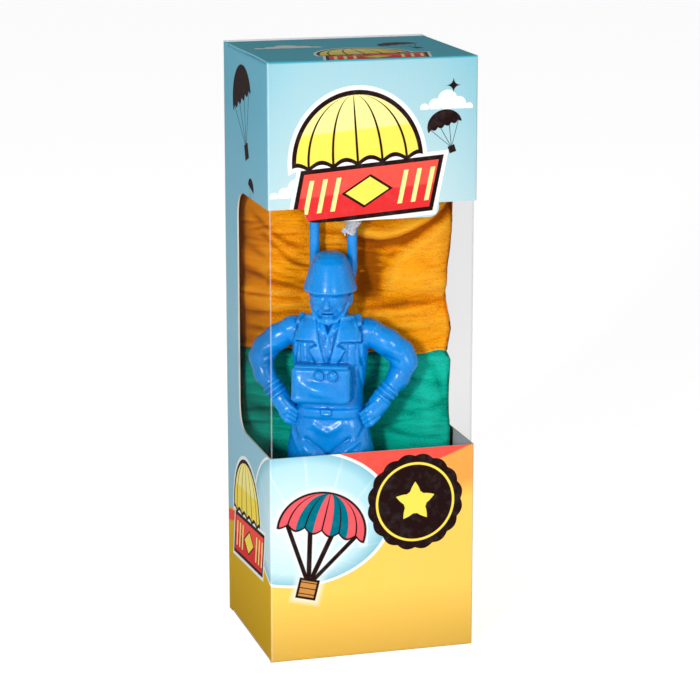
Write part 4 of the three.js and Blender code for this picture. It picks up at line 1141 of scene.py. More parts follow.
    # coat skirt: the open flap, a V of folds and the pocket edges
    f.press(strokes([
        (0.45, 1.3, [(-5.6, 88.8), (-2.6, 86.4), (0, 85.6)]),
        (0.45, 1.3, [(6.0, 89.4), (2.6, 86.6), (0, 85.6)]),
        (-0.8, 0.8, [(-8.5, 82.5), (-3.4, 79), (0, 75.8)]), (-0.8, 0.8, [(8.5, 83), (3.4, 79), (0, 75.8)]),
        (-0.8, 0.6, [(0, 76.5), (0, 66)]), (0.5, 1.4, [(-9.5, 79.4), (-4.6, 75.4)]),
        (0.55, 0.9, [(6.0, 77.2), (12.0, 81.8)]), (0.5, 0.9, [(8.8, 74.4), (14, 78.6)]),
        (0.4, 1.0, [(-14.6, 84), (-11.4, 78)]), (-0.45, 0.5, [(14.4, 88), (11.6, 82)]),
        (-0.4, 0.6, [(-14.4, 88), (-12, 82.4)]),
    ]), (-19, -13, 64), (19, 4, 93))

    # chest pack, flap and two ringed snaps
    px, pz, front = -1.7, up(.673), -8.5
    pack, snaps = ((-17, -19, 92), (16, 0, 120)), ((-8, -19, 104), (8, -12, 118))
    f.add(block((px, front - 1.4, pz), (23.8, 12.4, 15.8), 2.6, math.radians(-3)), *pack, 0.5)
    f.add(egg((px - 0.5, front - 3.2, pz - 2.0), (10.6, 5.6, 5.4)), *pack, 1.2)
    f.press(strokes([(-0.45, 0.4, [(px - 12, pz + 6.9), (px + 12, pz + 6.9)]),
                     (0.55, 2.2, [(px - 8, pz + 1.2), (px - 2, pz - 1.8), (px + 7, pz - 4.6)]),
                     (0.3, 1.2, [(px - 11, pz - 5.8), (px + 8, pz - 7.0)])]), (-17, -19, 94), (16, -10, 118))
    for x in (px - 0.4, px + 5.2):
        def far(u, w, x=x, z=pz + 4.4):
            return np.sqrt((u - x) ** 2 + (w - z) ** 2)
        f.add(lambda u, v, w: np.maximum(far(u, w) - 1.95, np.abs(v + 16.7) - 1.0), *snaps, 0.3)
        f.carve(lambda u, v, w: np.abs(far(u, w) - 1.4) - 0.22 + np.maximum(v + 17.2, 0) * 2,
                snaps[0], (8, -16.6, 118), 0.15)

    # parachute pack on the back with its harness
    f.add(block((0, 0.34 * deep + 3.5, up(.725)), (21, 9.5, 26), 2.6), (-16, 0, 96), (16, 19, 132), 0.8)
    f.press(strokes([(-0.5, 0.45, [(-9, 119), (9, 119)]), (-0.5, 0.45, [(0, 119), (0, 103)]),
                     *mirrored((0.4, 1.0, [(6, 128), (6, 102)]))], False), (-16, 4, 96), (16, 19, 132))
    f.press(strokes([*mirrored((0.5, 1.0, [(10, 86), (0, 80)]), (0.4, 0.9, [(13, 78), (6, 72)])),
                     (-0.5, 0.5, [(0, 92), (0, 70)])], False), (-18, 2, 66), (18, 12, 94))
    return f.surface("figure_body")


def figure_head():
    f = Body((-12.5, -13.5, 118), (12.5, 13, 160), 0.38)
    wide, deep = 7.3, 9.0
    skull = [(.818, .16, .30, .20), (.826, .50, .66, .45), (.840, .74, .82, .66), (.860, .92, .88, .84),
             (.880, 1, .92, .95), (.905, 1, .94, 1), (.930, .80, .8, .85)]
    f.add(stack([(up(h), a * wide, b * deep, c * deep) for h, a, b, c in skull], 2.2),
          (-11, -13, 127), (11, 13, 149))
    # neck, running down inside the collar
    f.add(limb([(0, 0.6, 121, 4.3), (0, 0.4, 134, 4.4)], 1), (-9, -9, 118), (9, 9, 138), 1.6)
    # chin, cheeks, nose and lips
    face = ((-9, -13, 126), (9, 0, 143))
    f.add(egg((0, -7.2, 131.9), (3.0, 2.0, 1.8)), *face, 1.4)
    for f.side in (-1, 1):
        f.add(egg((3.9, -5.5, 135.8), (2.2, 2.2, 2.1)), *face, 1.6)
    f.add(limb([(0, -8.4, 140.6, .8), (0, -9.5, 138.2, 1.05), (0, -10.1, 137.0, 1.35)], .6), *face, 0.5)
    for f.side in (-1, 1):
        f.add(egg((1.2, -9.2, 136.7), (.9, .95, .75)), *face, 0.35)
    f.add(limb([(-2.1, -8.0, 134.5, .5), (0, -9.2, 134.8, .68), (2.1, -8.0, 134.5, .5)], .3), *face, 0.3)
    f.add(limb([(-1.8, -7.9, 133.3, .55), (0, -8.9, 133.2, .8), (1.8, -7.9, 133.3, .55)], .3), *face, 0.3)
    f.press(strokes([(-0.6, 0.3, [(-2.3, 133.85), (0, 134.0), (2.3, 133.85)]),
                     (-0.45, 0.6, [(-2.4, 132.4), (2.4, 132.4)]), (-0.3, 0.35, [(0, 136.0), (0, 135.2)]),
                     *mirrored((-0.6, 0.55, [(1.9, 137.6), (3.6, 134.6)]))]), *face)

    def glasses(x, y, z):
        """Wrap-round sunglasses with a bridge and side arms."""
        shell = ((np.abs(x / 7.8) ** 2.3 + np.abs(y / 9.4) ** 2.3) ** (1 / 2.3) - 1) * 8.4
        side = np.abs(x)
        middle = 139.6 - 0.6 * np.clip((3.8 - side) / 3.8, 0, 1)
        tall = 2.15 - 1.2 * np.exp(-(side / 0.85) ** 2) - 0.9 * np.clip((side - 6.2) / 1.6, 0, 1)
        return np.maximum(shell, np.maximum(np.abs(z - middle) - tall, y - 3.5))

    f.add(glasses, (-11, -13, 134), (11, 6, 145), 0.25)
    rims = mirrored((-0.5, 0.3, [(6.6, 141.4), (1.3, 141.4), (1.3, 139.0), (3.4, 137.6), (6.2, 138.4)]))
    f.press(strokes(rims), (-9, -13, 136), (9, -2, 143))
    for f.side in (-1, 1):
        # ear, and the strap from the helmet round the jaw
        f.add(limb([(7.5, 1.6, 140.4, 1.0), (8.0, 2.5, 139.2, .9), (7.8, 2.0, 136.8, .8),
                    (7.2, 1.0, 135.6, .7)], .4), (5, -5, 130), (12, 7, 145), 0.4)
        strap = [(7.7, .4, 142), (7.3, -1.8, 137.2), (5.8, -4.7, 133.2), (3.4, -7.1, 131.0), (0, -8.5, 130.3)]
        f.add(limb([(*p, .8) for p in strap], .5, 1.1), (0, -12, 126), (11, 4, 145), 0.25)
    # helmet: a dome that flares to a rim with a rolled lip
    rim_low = up(.899)
    profile = np.array([(.899, .975), (.903, 1.0), (.909, 1.0), (.915, .985), (.932, .915), (.955, .81),
                        (.972, .72), (.985, .60), (.994, .43), (.9985, .24), (1.0, .02)])

    def helmet(x, y, z):
        radius = np.interp(z, up(profile[:, 0]), profile[:, 1] * 10.5)
        wall = (round_head(x, y) - radius) * (0.62 + 0.3 * np.clip((152 - z) / 8, 0, 1))
        return np.maximum(wall, np.maximum(rim_low - z, z - up(1.0)))

    def round_head(x, y):
        return np.sqrt(x ** 2 + (y / 1.1) ** 2)

    f.add(helmet, (-14, -14.5, 140), (14, 15, 160), 0.2)
    f.add(lambda x, y, z: np.sqrt((round_head(x, y) - 10.3) ** 2 + (z - up(.9045)) ** 2) - 0.42,
          (-14, -14.5, 139), (14, 15, 147), 0.3)
    f.carve(lambda x, y, z: round_head(x, y) - 9.8 + np.abs(z - rim_low),
            (-14, -14.5, 140), (14, 15, 142.3), 0.2)
    f.add(limb([(0, -2, 139, 7.4), (0, 1, 143, 7.6)], 1), (-10, -12, 134), (10, 12, 146), 0.4)
    return f.surface("figure_head")


def figure_hanger():
    """The loop behind the helmet: a rounded bar with a mould line."""
    bar, half, low, sides = 3.95, 7.6, 116.0, 20
    centre = hanger_top - bar / 2 - half
    leg = [(half - 3.6 * float(1 - smooth_step(z, 139, 149)), hanger_deep, z)
           for z in (low + (centre - low) * k / 26 for k in range(26))]
    route = [(-x, y, z) for x, y, z in leg]
    route += [(half * math.cos(a), hanger_deep, centre + half * math.sin(a))
              for a in (math.pi * (1 - k / 24) for k in range(25))]
    route = [Vector(spot) for spot in route + leg[::-1]]
    points, faces, depth = [], [], Vector((0, 1, 0))
    for index, spot in enumerate(route):
        across = (route[min(index + 1, len(route) - 1)] - route[max(index - 1, 0)]).cross(depth).normalized()
        for side in range(sides):
            ca, sa = math.cos(2 * math.pi * side / sides), math.sin(2 * math.pi * side / sides)
            square = (abs(ca) ** 3 + abs(sa) ** 3) ** (-1 / 3)
            seam_line = 1 + 0.06 * math.exp(-(sa / 0.12) ** 2) * (ca < 0)
            reach = bar / 2 * square * seam_line * (1 + 0.012 * math.sin(index * 1.7))
            points.append(spot + (across * ca + depth * sa) * reach)
    for a in range(0, (len(route) - 1) * sides, sides):
        ring = [a + side for side in range(sides)]
        faces += [(p, q, q + sides, p + sides) for p, q in zip(ring, ring[1:] + ring[:1])]
    last = (len(route) - 1) * sides
    faces += [tuple(reversed(range(sides))), tuple(range(last, last + sides))]
    made = piece_from("figure_hanger", figure_to_carton(np.array(points)), faces, ("figure",))
    settle(made)
    return made


body_piece = figure_body()
belongs(body_piece, "carton", "figure_plastic", "parachutist_figure")
for piece in (figure_legs(), figure_head(), figure_hanger()):
    belongs(piece, "carton", "figure_plastic")


# Canopy cloth: each colour is one sheet folded to and fro, its front layer draped in the window
cloth_half, cloth_back, cloth_back_low = 40.2, 33.3, 31.23
front_columns = 170
canopy_low, seam_high_z, canopy_high = 3.0, 119.0, 213.0
fold_rows = [
    # middle height, rise to the right and sag as shares of the canopy's height, then depth and width
    (.93, .10, .10, -.8, .030), (.86, .18, .12, 1.0, .036), (.76, .20, .10, -.9, .040),
    (.70, .02, -.03, .5, .022), (.63, -.05, .02, -.5, .026), (.57, .03, .02, .6, .020),
    (.47, -.02, .03, -.6, .024), (.40, .05, -.02, .5, .022), (.32, -.04, .03, -.6, .026),
    (.22, .05, .02, .6, .030), (.12, -.03, -.02, -.5, .026),
]
crease_rows = [
    # from (x, z) to (x, z), sag, depth into the cloth, width
    (-36, 174, -15, 158, 3, 1.5, 1.6), (-34, 168, -12, 150, 3.5, 1.4, 1.6), (-38, 160, -14, 148, 2, 1.3, 1.8),
    (-39, 150, -16, 143, 1.5, 1.2, 1.5), (-39, 140, -18, 138, 1, 1.2, 1.4), (-39, 132, -14, 133, 1, 1, 1.6),
    (-39, 126, -20, 124, 0.6, 1, 1.3), (-18, 170, 4, 166, 2.5, 1.3, 1.6), (-16, 162, 2, 158, 2, 1.3, 1.4),
    (-14, 176, 8, 172, 2.5, 1.2, 1.7), (12, 146, 39, 152, 2.5, 0.9, 1.5), (14, 126, 39, 130, 1.5, 0.9, 1.5),
    (20, 138, 39, 140, 1.2, 0.35, 1.5), (8, 124, 24, 121, 1, 1, 1.4), (28, 122, 39, 125, 0.5, 0.8, 1.1),
    (-39, 112, -18, 108, 1, 1.1, 1.6), (-39, 100, -20, 104, 1.5, 1, 1.6), (-38, 93, -16, 90, 1.2, 1.1, 1.5),
    (14, 112, 39, 104, 2.0, 1.1, 1.8), (10, 104, 34, 96, 1.5, 0.9, 1.5), (16, 92, 39, 98, 1.6, 1.1, 1.7),
    (12, 86, 38, 82, 1.4, 1.0, 1.5), (30, 116, 36, 98, -1.0, 0.9, 2.2), (-10, 60, 30, 66, 2, 1.0, 2.0),
    (-34, 44, 20, 38, 2, 1.0, 2.2), (-20, 22, 34, 28, 2, 1.0, 2.2),
]
fold_lines = [
    # depth into the cloth, half width, then points (x, z) along the fold
    (-2.2, 2.4, [(-3, 170), (4, 166.4), (10.8, 164.8), (17.9, 166.4), (23.7, 169.4), (28.4, 172.5),
                 (34, 178)]),
    (2.6, 2.6, [(2, 163.6), (7, 161.6), (12.7, 161.2), (20.5, 163.9), (27.1, 168.7), (33.5, 172.8),
                (38, 178)]),
    (0.5, 1.4, [(4.7, 133.8), (12, 135.4), (21, 137.2)]),
    (-0.8, 1.6, [(6, 131.5), (18, 133.6), (32, 136.4)]),
    (0.8, 1.2, [(-27.9, 155.6), (-14, 150.9)]), (0.7, 1.1, [(-28.9, 148.4), (-15.9, 144.7)]),
    (0.6, 1.0, [(-29, 143.8), (-16, 141.7)]), (0.6, 1.1, [(-28.1, 136.1), (-17.8, 137.5)]),
    (0.8, 2.2, [(31, 112), (36, 102), (37, 90)]), (-0.9, 3.0, [(24, 110), (29, 100), (30, 86)]),
]
bulge_edge = [
    # height, then where the bulge at the right starts
    (144.8, 11.9), (150.1, 13.2), (155.6, 15.5), (159.6, 18.6), (163.7, 23.8), (169.5, 30.7), (173.3, 37.5),
    (180, 44.0),
]
side_rows = [(3, 1.2), (40, 0.5), (82, 0.4), (100, 0.9), (114.4, 0.6), (118.5, 1.6), (127.6, 0.4), (143, 2.3),
             (160, 0.9), (175, 0.2), (213, 0.8)]


def cloth_front(x, z):
    """The cloth's front, as the solid has it."""
    share = x / cloth_half
    slope = figure_y + (14 - (x - figure_x) * math.sin(figure_turn)) / math.cos(figure_turn)
    height = (z - canopy_low) / (canopy_high - canopy_low)
    folds = 0.0
    for middle, rise, sag, depth, width in fold_rows:
        centre = middle + rise * share / 2 - sag * (1 - share * share) / 2
        folds = folds + depth * np.exp(-((height - centre) / width) ** 2)
    free = smooth_step(share, 0.15, 0.75)
    bulge = 2.2 * np.sin(math.pi * np.clip(share, 0, 1)) * free
    surface = slope - bulge + 2.6 * (0.3 + 0.7 * free) * folds / 2 + 3.2 * np.abs(share) ** 10
    return np.minimum(surface, 25.23)


def ripple(u, v, seed):
    """Soft crinkles from a few waves."""
    dice = np.random.default_rng(seed)
    total, count = 0.0, 7
    for _ in range(count):
        a, b = dice.normal(0, 0.04), dice.uniform(0.5, 1.5) * 0.22
        phase, bend = dice.uniform(0, 6.28), dice.uniform(0.3, 1.4)
        total = total + np.sin(a * u + b * v + phase + bend * np.sin(0.06 * u + 0.11 * v + phase * 3))
    return total / math.sqrt(count)


def crumple(x, z, low, high, seed, count, longest, highest):
    """Many short pinched creases, more of them at the left, as thin cloth shows where it was packed."""
    dice = np.random.default_rng(seed)
    total = 0.0
    for _ in range(count):
        middle_x = cloth_half * (2 * dice.beta(1.0, 1.2) - 1)
        middle_z = dice.uniform(low, high)
        half, tilt = dice.uniform(0.25, 1.0) * longest, dice.normal(0, 0.11)
        rise = dice.uniform(0.3, 1.0) * highest
        wide = rise * dice.uniform(1.3, 2.2) + 0.25
        bend = dice.normal(0, 0.012)
        along = x - middle_x
        across = z - middle_z - along * tilt - bend * along * along
        fade = np.exp(-(along / half) ** 4)
        shape = np.exp(-(across / wide) ** 2) - 0.7 * np.exp(-((across - 1.5 * wide) / wide) ** 2)
        total = total + rise * fade * shape
    return total


def drape(x, z, low, high, seed):
    """How far the front layer lies behind the plain drape: big folds first, then creases."""
    edge_z, edge_x = np.array(bulge_edge).T
    swell = smooth_step(x - np.interp(z, edge_z, edge_x), -1.0, 4.0) * smooth_step(z, 137, 148)
    hollow = np.exp(-np.abs((x - 7.4) / 5.2) ** 3 - ((z - 150) / 11.0) ** 4)
    depth = stroked(x, z, fold_lines) - 2.6 * swell * (1 - 0.8 * smooth_step(x, 31, 40)) + 3.0 * hollow
    for ax, az, bx, bz, sag, deep, width in crease_rows:
        s = np.clip((x - ax) / (bx - ax), 0, 1)
        centre = az + (bz - az) * s - sag * 4 * s * (1 - s)
        fade = smooth_step(x, ax - 2, ax + 7) * (1 - smooth_step(x, bx - 6, bx + 3))
        depth = depth + 0.6 * deep * fade * np.exp(-((z - centre) / width) ** 2)
    calm = 1 - 0.8 * swell * (1 - smooth_step(x, 33, 40))
    pinched = (crumple(x, z, low, high, seed + 2, 50, 15, 0.42)
               + crumple(x, z, low, high, seed + 3, 240, 8, 0.17))
    return depth + 0.5 * ripple(x, z, seed + 1) + calm * pinched


def shade(rise, reach, gain):
    """Above zero in hollows and below on ridges, judged against the heights within a reach."""
    weights = np.exp(-0.5 * (np.arange(-3 * reach, 3 * reach + 1) / reach) ** 2)
    return np.tanh(gain * (rise - softened(rise, weights)))


def folded_sheet(name, low, high, colour, layers, seed, hem_wave, tuck):
    """Half the canopy as one sheet, folded to and fro behind its draped front layer."""
    columns, turn_columns, rows = 18, 7, 190
    pitch = 1.0 / (layers - 0.35)
    lanes = []
    for layer in range(layers):
        count = columns if layer else front_columns
        way = -1 if layer % 2 else 1
        lanes += [(layer, way * (2 * k / (count - 1) - 1), 0.0) for k in range(count)]
        if layer < layers - 1:
            lanes += [(layer, way, k / (turn_columns + 1)) for k in range(1, turn_columns + 1)]
    points = np.zeros((len(lanes), rows, 3))
    t = np.linspace(0, 1, rows)
    for column, (layer, across, round_share) in enumerate(lanes):
        z = low + (high - low) * t
        inset = 1.6 * np.interp(z, *np.array(side_rows).T)
        droop = 0.7 * math.sin(layer * 1.9 + across * 2.4) + 0.5 * math.sin(layer * 4.1) - 1.3
        z = z + droop * smooth_step(t, 0.8, 1.0) * (1.0 if layer else 0.4)
        if layer == 0:
            z = z + hem_wave(across * cloth_half) * (1 - smooth_step(t, 0.0, 0.25))
        side = 1.0 if across > 0 else 0.0
        half = cloth_half + 0.4 - 0.5 * side - inset * (0.2 + 0.8 * side) - 0.6 * abs(math.sin(layer * 2.3))
        x = across * half
        front = cloth_front(x, z)
        back = cloth_back_low + (cloth_back - cloth_back_low) * smooth_step(z, 12.3, 18)
        room = back - 0.4 - front
        y = front + room * layer * pitch
        if round_share:
            swing, gap = math.pi * round_share, room * pitch
            y = y + gap / 2 * (1 - math.cos(swing))
            x = across * (half - 1.6 + np.minimum(gap / 2, 2.6) * math.sin(swing) * 0.6)
        elif layer == 0:
            y = y + 0.7 + (0.3 + 0.5 * side) * (max(abs(across) - 0.93, 0) / 0.07) ** 2
        else:
            y = y + 0.35 * np.sin(z * 0.23 + layer * 2.0 + across * 2)
        points[column] = np.stack(np.broadcast_arrays(x, y, z), 1)
    x, y, z = np.moveaxis(points[:front_columns], 2, 0)
    y += drape(x, z, low, high, seed)
    y += tuck(t)
    marks = np.zeros((len(lanes), rows))
    # painted shade in the front layer's hollows and a painted highlight on its ridges, a painted shadow of
    # the figure in the hollow right of the helmet, and painted shade along the left edge
    marks[:front_columns] = (0.55 * shade(y, 3, 1.7) + 0.8 * shade(y, 14, 0.7)
                             + 0.4 * np.exp(-((x - 8) / 5) ** 2 - ((z - 150) / 11) ** 4)
                             + 0.5 * smooth_step(-x, 28, 33))
    steps = np.linalg.norm(np.diff(points[:, rows // 2], axis=0), axis=1)
    u = np.concatenate([[0], np.cumsum(steps)])
    uv = np.stack(np.broadcast_arrays(u[:, None], t * (high - low)), -1).reshape(-1, 2) * MM
    faces = grid_faces(len(lanes), rows, 0, True)
    made = piece_from(name, points.reshape(-1, 3), faces, (colour,), uv, "cloth")
    mark(made, "fold", marks)
    return made, points


def orange_hem(x):
    """How far the orange hem hangs over the green."""
    return (-1.6 - 1.3 * smooth_step(x, -40, -28) + 0.5 * np.sin(x * 0.21) + 0.3 * np.sin(x * 0.55 + 1)
            + 1.5 * smooth_step(x, 10, 40))


orange, orange_points = folded_sheet("canopy_orange_cloth", seam_high_z + 0.3, canopy_high, "orange", 9, 11,
                                     orange_hem, lambda t: -0.5 * (1 - smooth_step(t, 0.0, 0.03)))
green, _ = folded_sheet("canopy_green_cloth", canopy_low, seam_high_z + 1.2, "green", 7, 23,
                        lambda x: 0.0, lambda t: 1.2 * smooth_step(t, 0.955, 0.98))


# Geometry nodes that lay strands or stitches along a path
def strand_tree():
    """Twisted strands along a curve, as one mesh."""
    group = bpy.data.node_groups.new("twisted_strands", "GeometryNodeTree")
    face = group.interface
    for label, way, kind in (
        ("Geometry", "INPUT", "Geometry"), ("Strands", "INPUT", "Int"), ("Bundle radius", "INPUT", "Float"),
        ("Strand radius", "INPUT", "Float"), ("Turns per metre", "INPUT", "Float"),
        ("Step", "INPUT", "Float"), ("Finish", "INPUT", "Material"), ("Geometry", "OUTPUT", "Geometry"),
    ):
        face.new_socket(label, in_out=way, socket_type="NodeSocket" + kind)
    n = Nodes(group)

    def geometry(kind, inputs=None, settings=None, output=0):
        return n.node("GeometryNode" + kind, settings, inputs, output)

    def vector(operation, first, second):
        return n.node("ShaderNodeVectorMath", {"operation": operation}, {0: first, 1: second})

    def scaled(vector_in, scale):
        return n.node("ShaderNodeVectorMath", {"operation": "SCALE"}, {0: vector_in, "Scale": scale})

    path, count, bundle, thin, turns, step, finish, _ = n.node("NodeGroupInput", output=None)
    even = geometry("ResampleCurve", {"Curve": path, "Length": step}, {"mode": "LENGTH"})
    copies, copy = geometry("DuplicateElements", {"Geometry": even, "Amount": count},
                            {"domain": "SPLINE"}, None)
    angle = (geometry("SplineParameter", output="Length") * turns + copy / count) * (2 * math.pi)
    normal, tangent = geometry("InputNormal"), geometry("InputTangent")
    aside = vector("CROSS_PRODUCT", normal, tangent)
    spoke = vector("ADD", scaled(normal, n.math("COSINE", angle)), scaled(aside, n.math("SINE", angle)))
    moved = geometry("SetPosition", {"Geometry": copies, "Offset": scaled(spoke, bundle)})
    ring = geometry("CurvePrimitiveCircle", {"Resolution": 6, "Radius": thin})
    solid = geometry("CurveToMesh", {0: moved, 1: ring, "Fill Caps": True})
    real = geometry("RealizeInstances", {"Geometry": solid})
    n.node("NodeGroupOutput", {}, {0: geometry("SetMaterial", {"Geometry": real, "Material": finish})}, None)
    return group


strands_along = strand_tree()


def strands(name, paths, count=8, bundle=0.68, thin=0.29, turns=60.0, step=1.2):
    """Strands laid along paths in millimetres, turned into a plain mesh."""
    curve = bpy.data.curves.new(name + "_path", "CURVE")
    curve.dimensions = "3D"
    for path in paths:
        spline = curve.splines.new("POLY")
        spline.points.add(len(path) - 1)
        spline.points.foreach_set("co", [c for x, y, z in path for c in (x * MM, y * MM, z * MM, 1.0)])
    holder = linked(name + "_path", curve)
    work = holder.modifiers.new("strands", "NODES")
    work.node_group = strands_along
    values = {"Strands": count, "Bundle radius": bundle * MM, "Strand radius": thin * MM,
              "Turns per metre": turns, "Step": step * MM, "Finish": finishes["thread"]}
    for socket in strands_along.interface.items_tree:
        if socket.in_out == "INPUT" and socket.name in values:
            work[socket.identifier] = values[socket.name]
    mesh = bpy.data.meshes.new_from_object(holder.evaluated_get(bpy.context.evaluated_depsgraph_get()))
    mesh.name = name
    mesh.polygons.foreach_set("use_smooth", [True] * len(mesh.polygons))
    bpy.data.objects.remove(holder)
    return linked(name, mesh)


# Stitches along the orange hem
def hem_stitches():
    hem = orange_points[:front_columns, 2]
    reach = np.concatenate([[0], np.cumsum(np.linalg.norm(np.diff(hem, axis=0), axis=1))])
    start, pitch, stitch_long, lift = 1.5, 2.2, 1.4, 0.16
    paths = []
    for place in np.arange(start, reach[-1] - 2.5, pitch):
        ends = place + np.array([0, stitch_long / 2, stitch_long])
        paths.append(np.stack([np.interp(ends, reach, hem[:, k]) for k in range(3)], 1) - [0, lift, 0])
    return strands("hem_stitches", paths, 1, 0.0, 0.14, 0.0, 0.7)


stitches = hem_stitches()
stitches.data.materials.clear()
stitches.data.materials.append(finishes["orange"])
stitches.data.uv_layers.new(name="cloth")
belongs(orange, "carton", "orange_cloth", "canopy_orange")
belongs(stitches, "carton", "orange_cloth")
belongs(green, "carton", "green_cloth", "canopy_green")


# Lines: from the knot up to the wound hank on top of the cloth, and a tail from its start
hank_x, hank_behind, hank_level, hank_half, hank_turns = 4.5, 19.2, 215.45, 16.0, 4
hank_start = Vector((hank_x, float(cloth_front(hank_x, canopy_high)) + hank_behind, hank_level))
hank_place = Matrix.Translation(hank_start) @ Matrix.Rotation(math.radians(-13), 4, "Z")
along_hank = hank_place.to_3x3() @ Vector((1, 0, 0))
knot_across, knot_deep, knot_up = 0.34 * hanger_wide, 3.8, 0.934 * hanger_top
knot_end = 0.72 * knot_across


def from_figure(x, y, z):
    return Vector(figure_to_carton(np.array([[x, y, z]]))[0])


def hank_point(turn):
    """A place on the wound hank: each turn has two straight runs and two round ends."""
    radius = 6 + 3 * abs(turn - hank_turns / 2)
    quarter = turn % 1 * 4
    part = quarter % 1
    side = 1 if 1 <= quarter < 3 else -1
    if int(quarter) % 2:
        angle = math.pi * (part - 0.5)
        x, y = side * (hank_half + radius * math.cos(angle)), side * radius * math.sin(angle)
    else:
        x = side * hank_half * (1 - 2 * part)
        y = side * (radius - 3.2 * math.exp(-((x / 8) ** 2)))
    return hank_place @ Vector((x, y, 2.5 * float(smooth_step(turn, 2, 2.25))))


hank_points = [hank_point(min(k / 24, hank_turns - 1e-9)) for k in range(24 * hank_turns + 1)]
start, end = hank_points[0] - along_hank * 2, hank_points[-1] + along_hank * 2
knot_top = from_figure(knot_end, knot_deep, knot_up + 9.1)
lead_route = [(0, 0, 0), (0.4, 0.2, 3), (0.7, 0.7, 9), (0.7, 1.9, 16), (0.3, 4, 24), (-0.1, 6.6, 30.2),
              (-0.4, 9.2, 33), (-1.4, 11.8, 33.9), (-3.2, 14, 34.2)]
tail_route = [(-4.6, 0.6, 0), (-7.8, -0.7, -0.5), (-9.6, -3, -2.6), (-10.4, -4.5, -6), (-10.7, -4.6, -10)]
line_points = [knot_top + Vector(step) for step in lead_route]
line_points += [end + along_hank * 2.3, end] + hank_points[::-1] + [start, start - along_hank * 2.3]
line_points += [start - along_hank * 0.3 + Vector(step) for step in tail_route]


def smooth_path(points, pieces):
    """A curve through the points, near the chosen route."""
    path = []
    for before, a, b, after in zip(points[:1] + points, points, points[1:], points[2:] + points[-1:]):
        gap = (b - a).length
        slope_a = (b - before) * (gap / (b - before).length)
        slope_b = (after - a) * (gap / (after - a).length)
        for t in (k / pieces for k in range(pieces)):
            path.append(a * (2 * t ** 3 - 3 * t ** 2 + 1) + slope_a * (t ** 3 - 2 * t ** 2 + t)
                        + b * (3 * t ** 2 - 2 * t ** 3) + slope_b * (t ** 3 - t ** 2))
    return path + [points[-1]]


line_path = smooth_path(line_points, 3)
line_length = sum((b - a).length for a, b in zip(line_path, line_path[1:]))
lines = strands("gathered_lines", [line_path])


def tie():
    """Thread wound four times round the hank's waist."""
    wide, low, high, radius, tie_turns, tie_half = 10.55, -1.75, 4.25, 1.2, 4, 1.15
    outline = rounded([(-wide, low, radius), (wide, low, radius), (wide, high, radius),
                       (-wide, high, radius)], 5)
    total = tie_turns * len(outline)
    path = []
    for k in range(total + 1):
        a, b = outline[k % len(outline)]
        path.append(hank_place @ Vector((tie_half * (2 * k / total - 1), a, b)))
    return strands("hank_tie_thread", [path], 2, 0.2, 0.22, 150, 0.8)


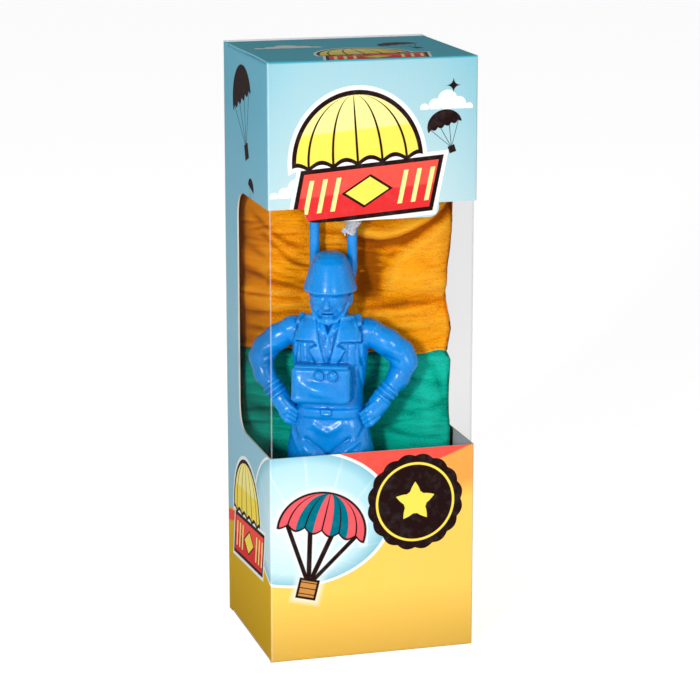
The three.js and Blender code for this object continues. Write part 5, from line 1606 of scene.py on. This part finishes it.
def knot():
    """Threads wound into a lumpy knot before the hanger's bar, with the loop over its arch."""
    # middle, half sizes, turns and tilt of each lump
    lumps = [((1.75, 0, -0.4), (3.3, 2.2, 4.6), 13, 0.3), ((1.5, -0.25, -5.0), (1.9, 1.6, 2.5), 7, -0.5),
             ((1.2, -0.25, 5), (2.2, 1.7, 3.2), 8, 0.6)]
    lumps = [(Vector((a * knot_across, knot_deep + b, knot_up + c)), *rest) for (a, b, c), *rest in lumps]
    paths = []
    for index, (middle, radii, turns, tilt) in enumerate(lumps):
        steps = turns * 16
        path = []
        for t in (k / steps for k in range(steps + 1)):
            drop, spin = math.pi * (0.1 + 0.8 * t), 2 * math.pi * turns * t + index
            wander = 1 + 0.07 * math.sin(spin * 0.37 + index) + 0.05 * math.sin(spin * 1.3)
            x = radii[0] * math.sin(drop) * math.cos(spin) * wander
            y = radii[1] * math.sin(drop) * math.sin(spin) * wander
            path.append(from_figure(*(middle + Vector((x, y, radii[2] * math.cos(drop) + tilt * x)))))
        paths.append(path)
    # three turns round the hanger's arch, then the lead down to the knot and its loose ends
    loop, loop_x, arch_up = 2.95, 0.10 * hanger_wide, hanger_top - 1.8
    around = [2 * math.pi * k / 20 for k in range(3 * 20 + 1)]
    paths.append([from_figure(loop_x - 0.6 + 1.2 * a / around[-1], hanger_deep + loop * math.cos(a),
                              arch_up + loop * math.sin(a)) for a in around])
    for shift in (-0.5, 0.5):
        paths.append([from_figure(loop_x + shift, hanger_deep - loop, arch_up),
                      from_figure(0.45 * knot_across + shift, knot_deep + 0.9, arch_up - 4.0),
                      from_figure(knot_end + shift, knot_deep, knot_up + 5.5)])
    for x, y, z in ((5.6, -1.6, -8.0), (7.2, -1.5, -7.2), (4.4, -1.7, -6.6)):
        paths.append([from_figure(5.4, knot_deep - 1.0, knot_up - 5.0),
                      from_figure((5.4 + x) / 2, knot_deep + y, knot_up - 6.4),
                      from_figure(x, knot_deep + y, knot_up + z)])
    made = strands("knot_threads", paths, 2, 0.30, 0.30, 90, 0.8)
    core = bmesh.new()
    core.from_mesh(made.data)
    for middle, radii, _, tilt in lumps:
        for vert in bmesh.ops.create_uvsphere(core, u_segments=18, v_segments=12, radius=1.0)["verts"]:
            local = Vector([c * r * 0.78 for c, r in zip(vert.co, radii)])
            local.z += tilt * local.x
            vert.co = from_figure(*(middle + local)) * MM
    for face in core.faces:
        face.smooth = True
    core.to_mesh(made.data)
    core.free()
    return made


tie_thread = tie()
belongs(lines, "carton", "line_cord", "line_lead", "line_hank", "line_tail")
belongs(tie_thread, "carton", "line_cord", "hank_tie")
belongs(knot(), "carton", "line_cord", "line_knot")


# Floor, backdrop and light
floor_finish = Finish("white_floor", Base_Color=(0.93, 0.93, 0.93), Roughness=0.9,
                      Specular_IOR_Level=0.1, Emission_Strength=0.76)
floor_finish.set(Emission_Color=floor_finish.seen_by("Camera", "Transmission", "Glossy"))
floor_reach, floor_drop = 4.0, 0.0004
floor_mesh = bpy.data.meshes.new("floor")
corners = [(-1, -1), (1, -1), (1, 1), (-1, 1)]
floor_mesh.from_pydata([(floor_reach * x, floor_reach * y, 0) for x, y in corners], [], [(0, 1, 2, 3)])
floor_mesh.materials.append(floor_finish.material)
floor = linked("floor", floor_mesh)
floor.location.z = -floor_drop

# The world looks white, and lights the carton less than it looks
world = bpy.data.worlds.new("studio")
bpy.context.scene.world = world
world.use_nodes = True
backdrop = Nodes(world.node_tree)
backdrop_light = 0.18
background = world.node_tree.nodes["Background"]
background.inputs["Color"].default_value = (1, 1, 1, 1)
backdrop_seen = backdrop.seen_by("Camera", "Transmission", "Glossy")
backdrop.feed(background.inputs["Strength"], backdrop_light + (1 - backdrop_light) * backdrop_seen)


def lamp(name, place, size, energy):
    """A plain panel of light, turned to the carton's middle."""
    data = bpy.data.lights.new(name, "AREA")
    data.shape = "RECTANGLE"
    data.size, data.size_y = size
    data.energy = energy
    made = linked(name, data)
    made.location = place
    way = Vector((0, 0, carton_high / 2 * MM)) - Vector(place)
    made.rotation_euler = way.to_track_quat("-Z", "Y").to_euler()


lamp("key", (-0.80, -1.05, 0.42), (0.15, 0.30), 12.4)
lamp("front", (0.16, -1.35, 0.36), (0.18, 0.24), 4.6)
lamp("fill", (0.95, -0.70, 0.40), (0.5, 0.8), 1.5)

bpy.context.scene.view_settings.view_transform = "Standard"
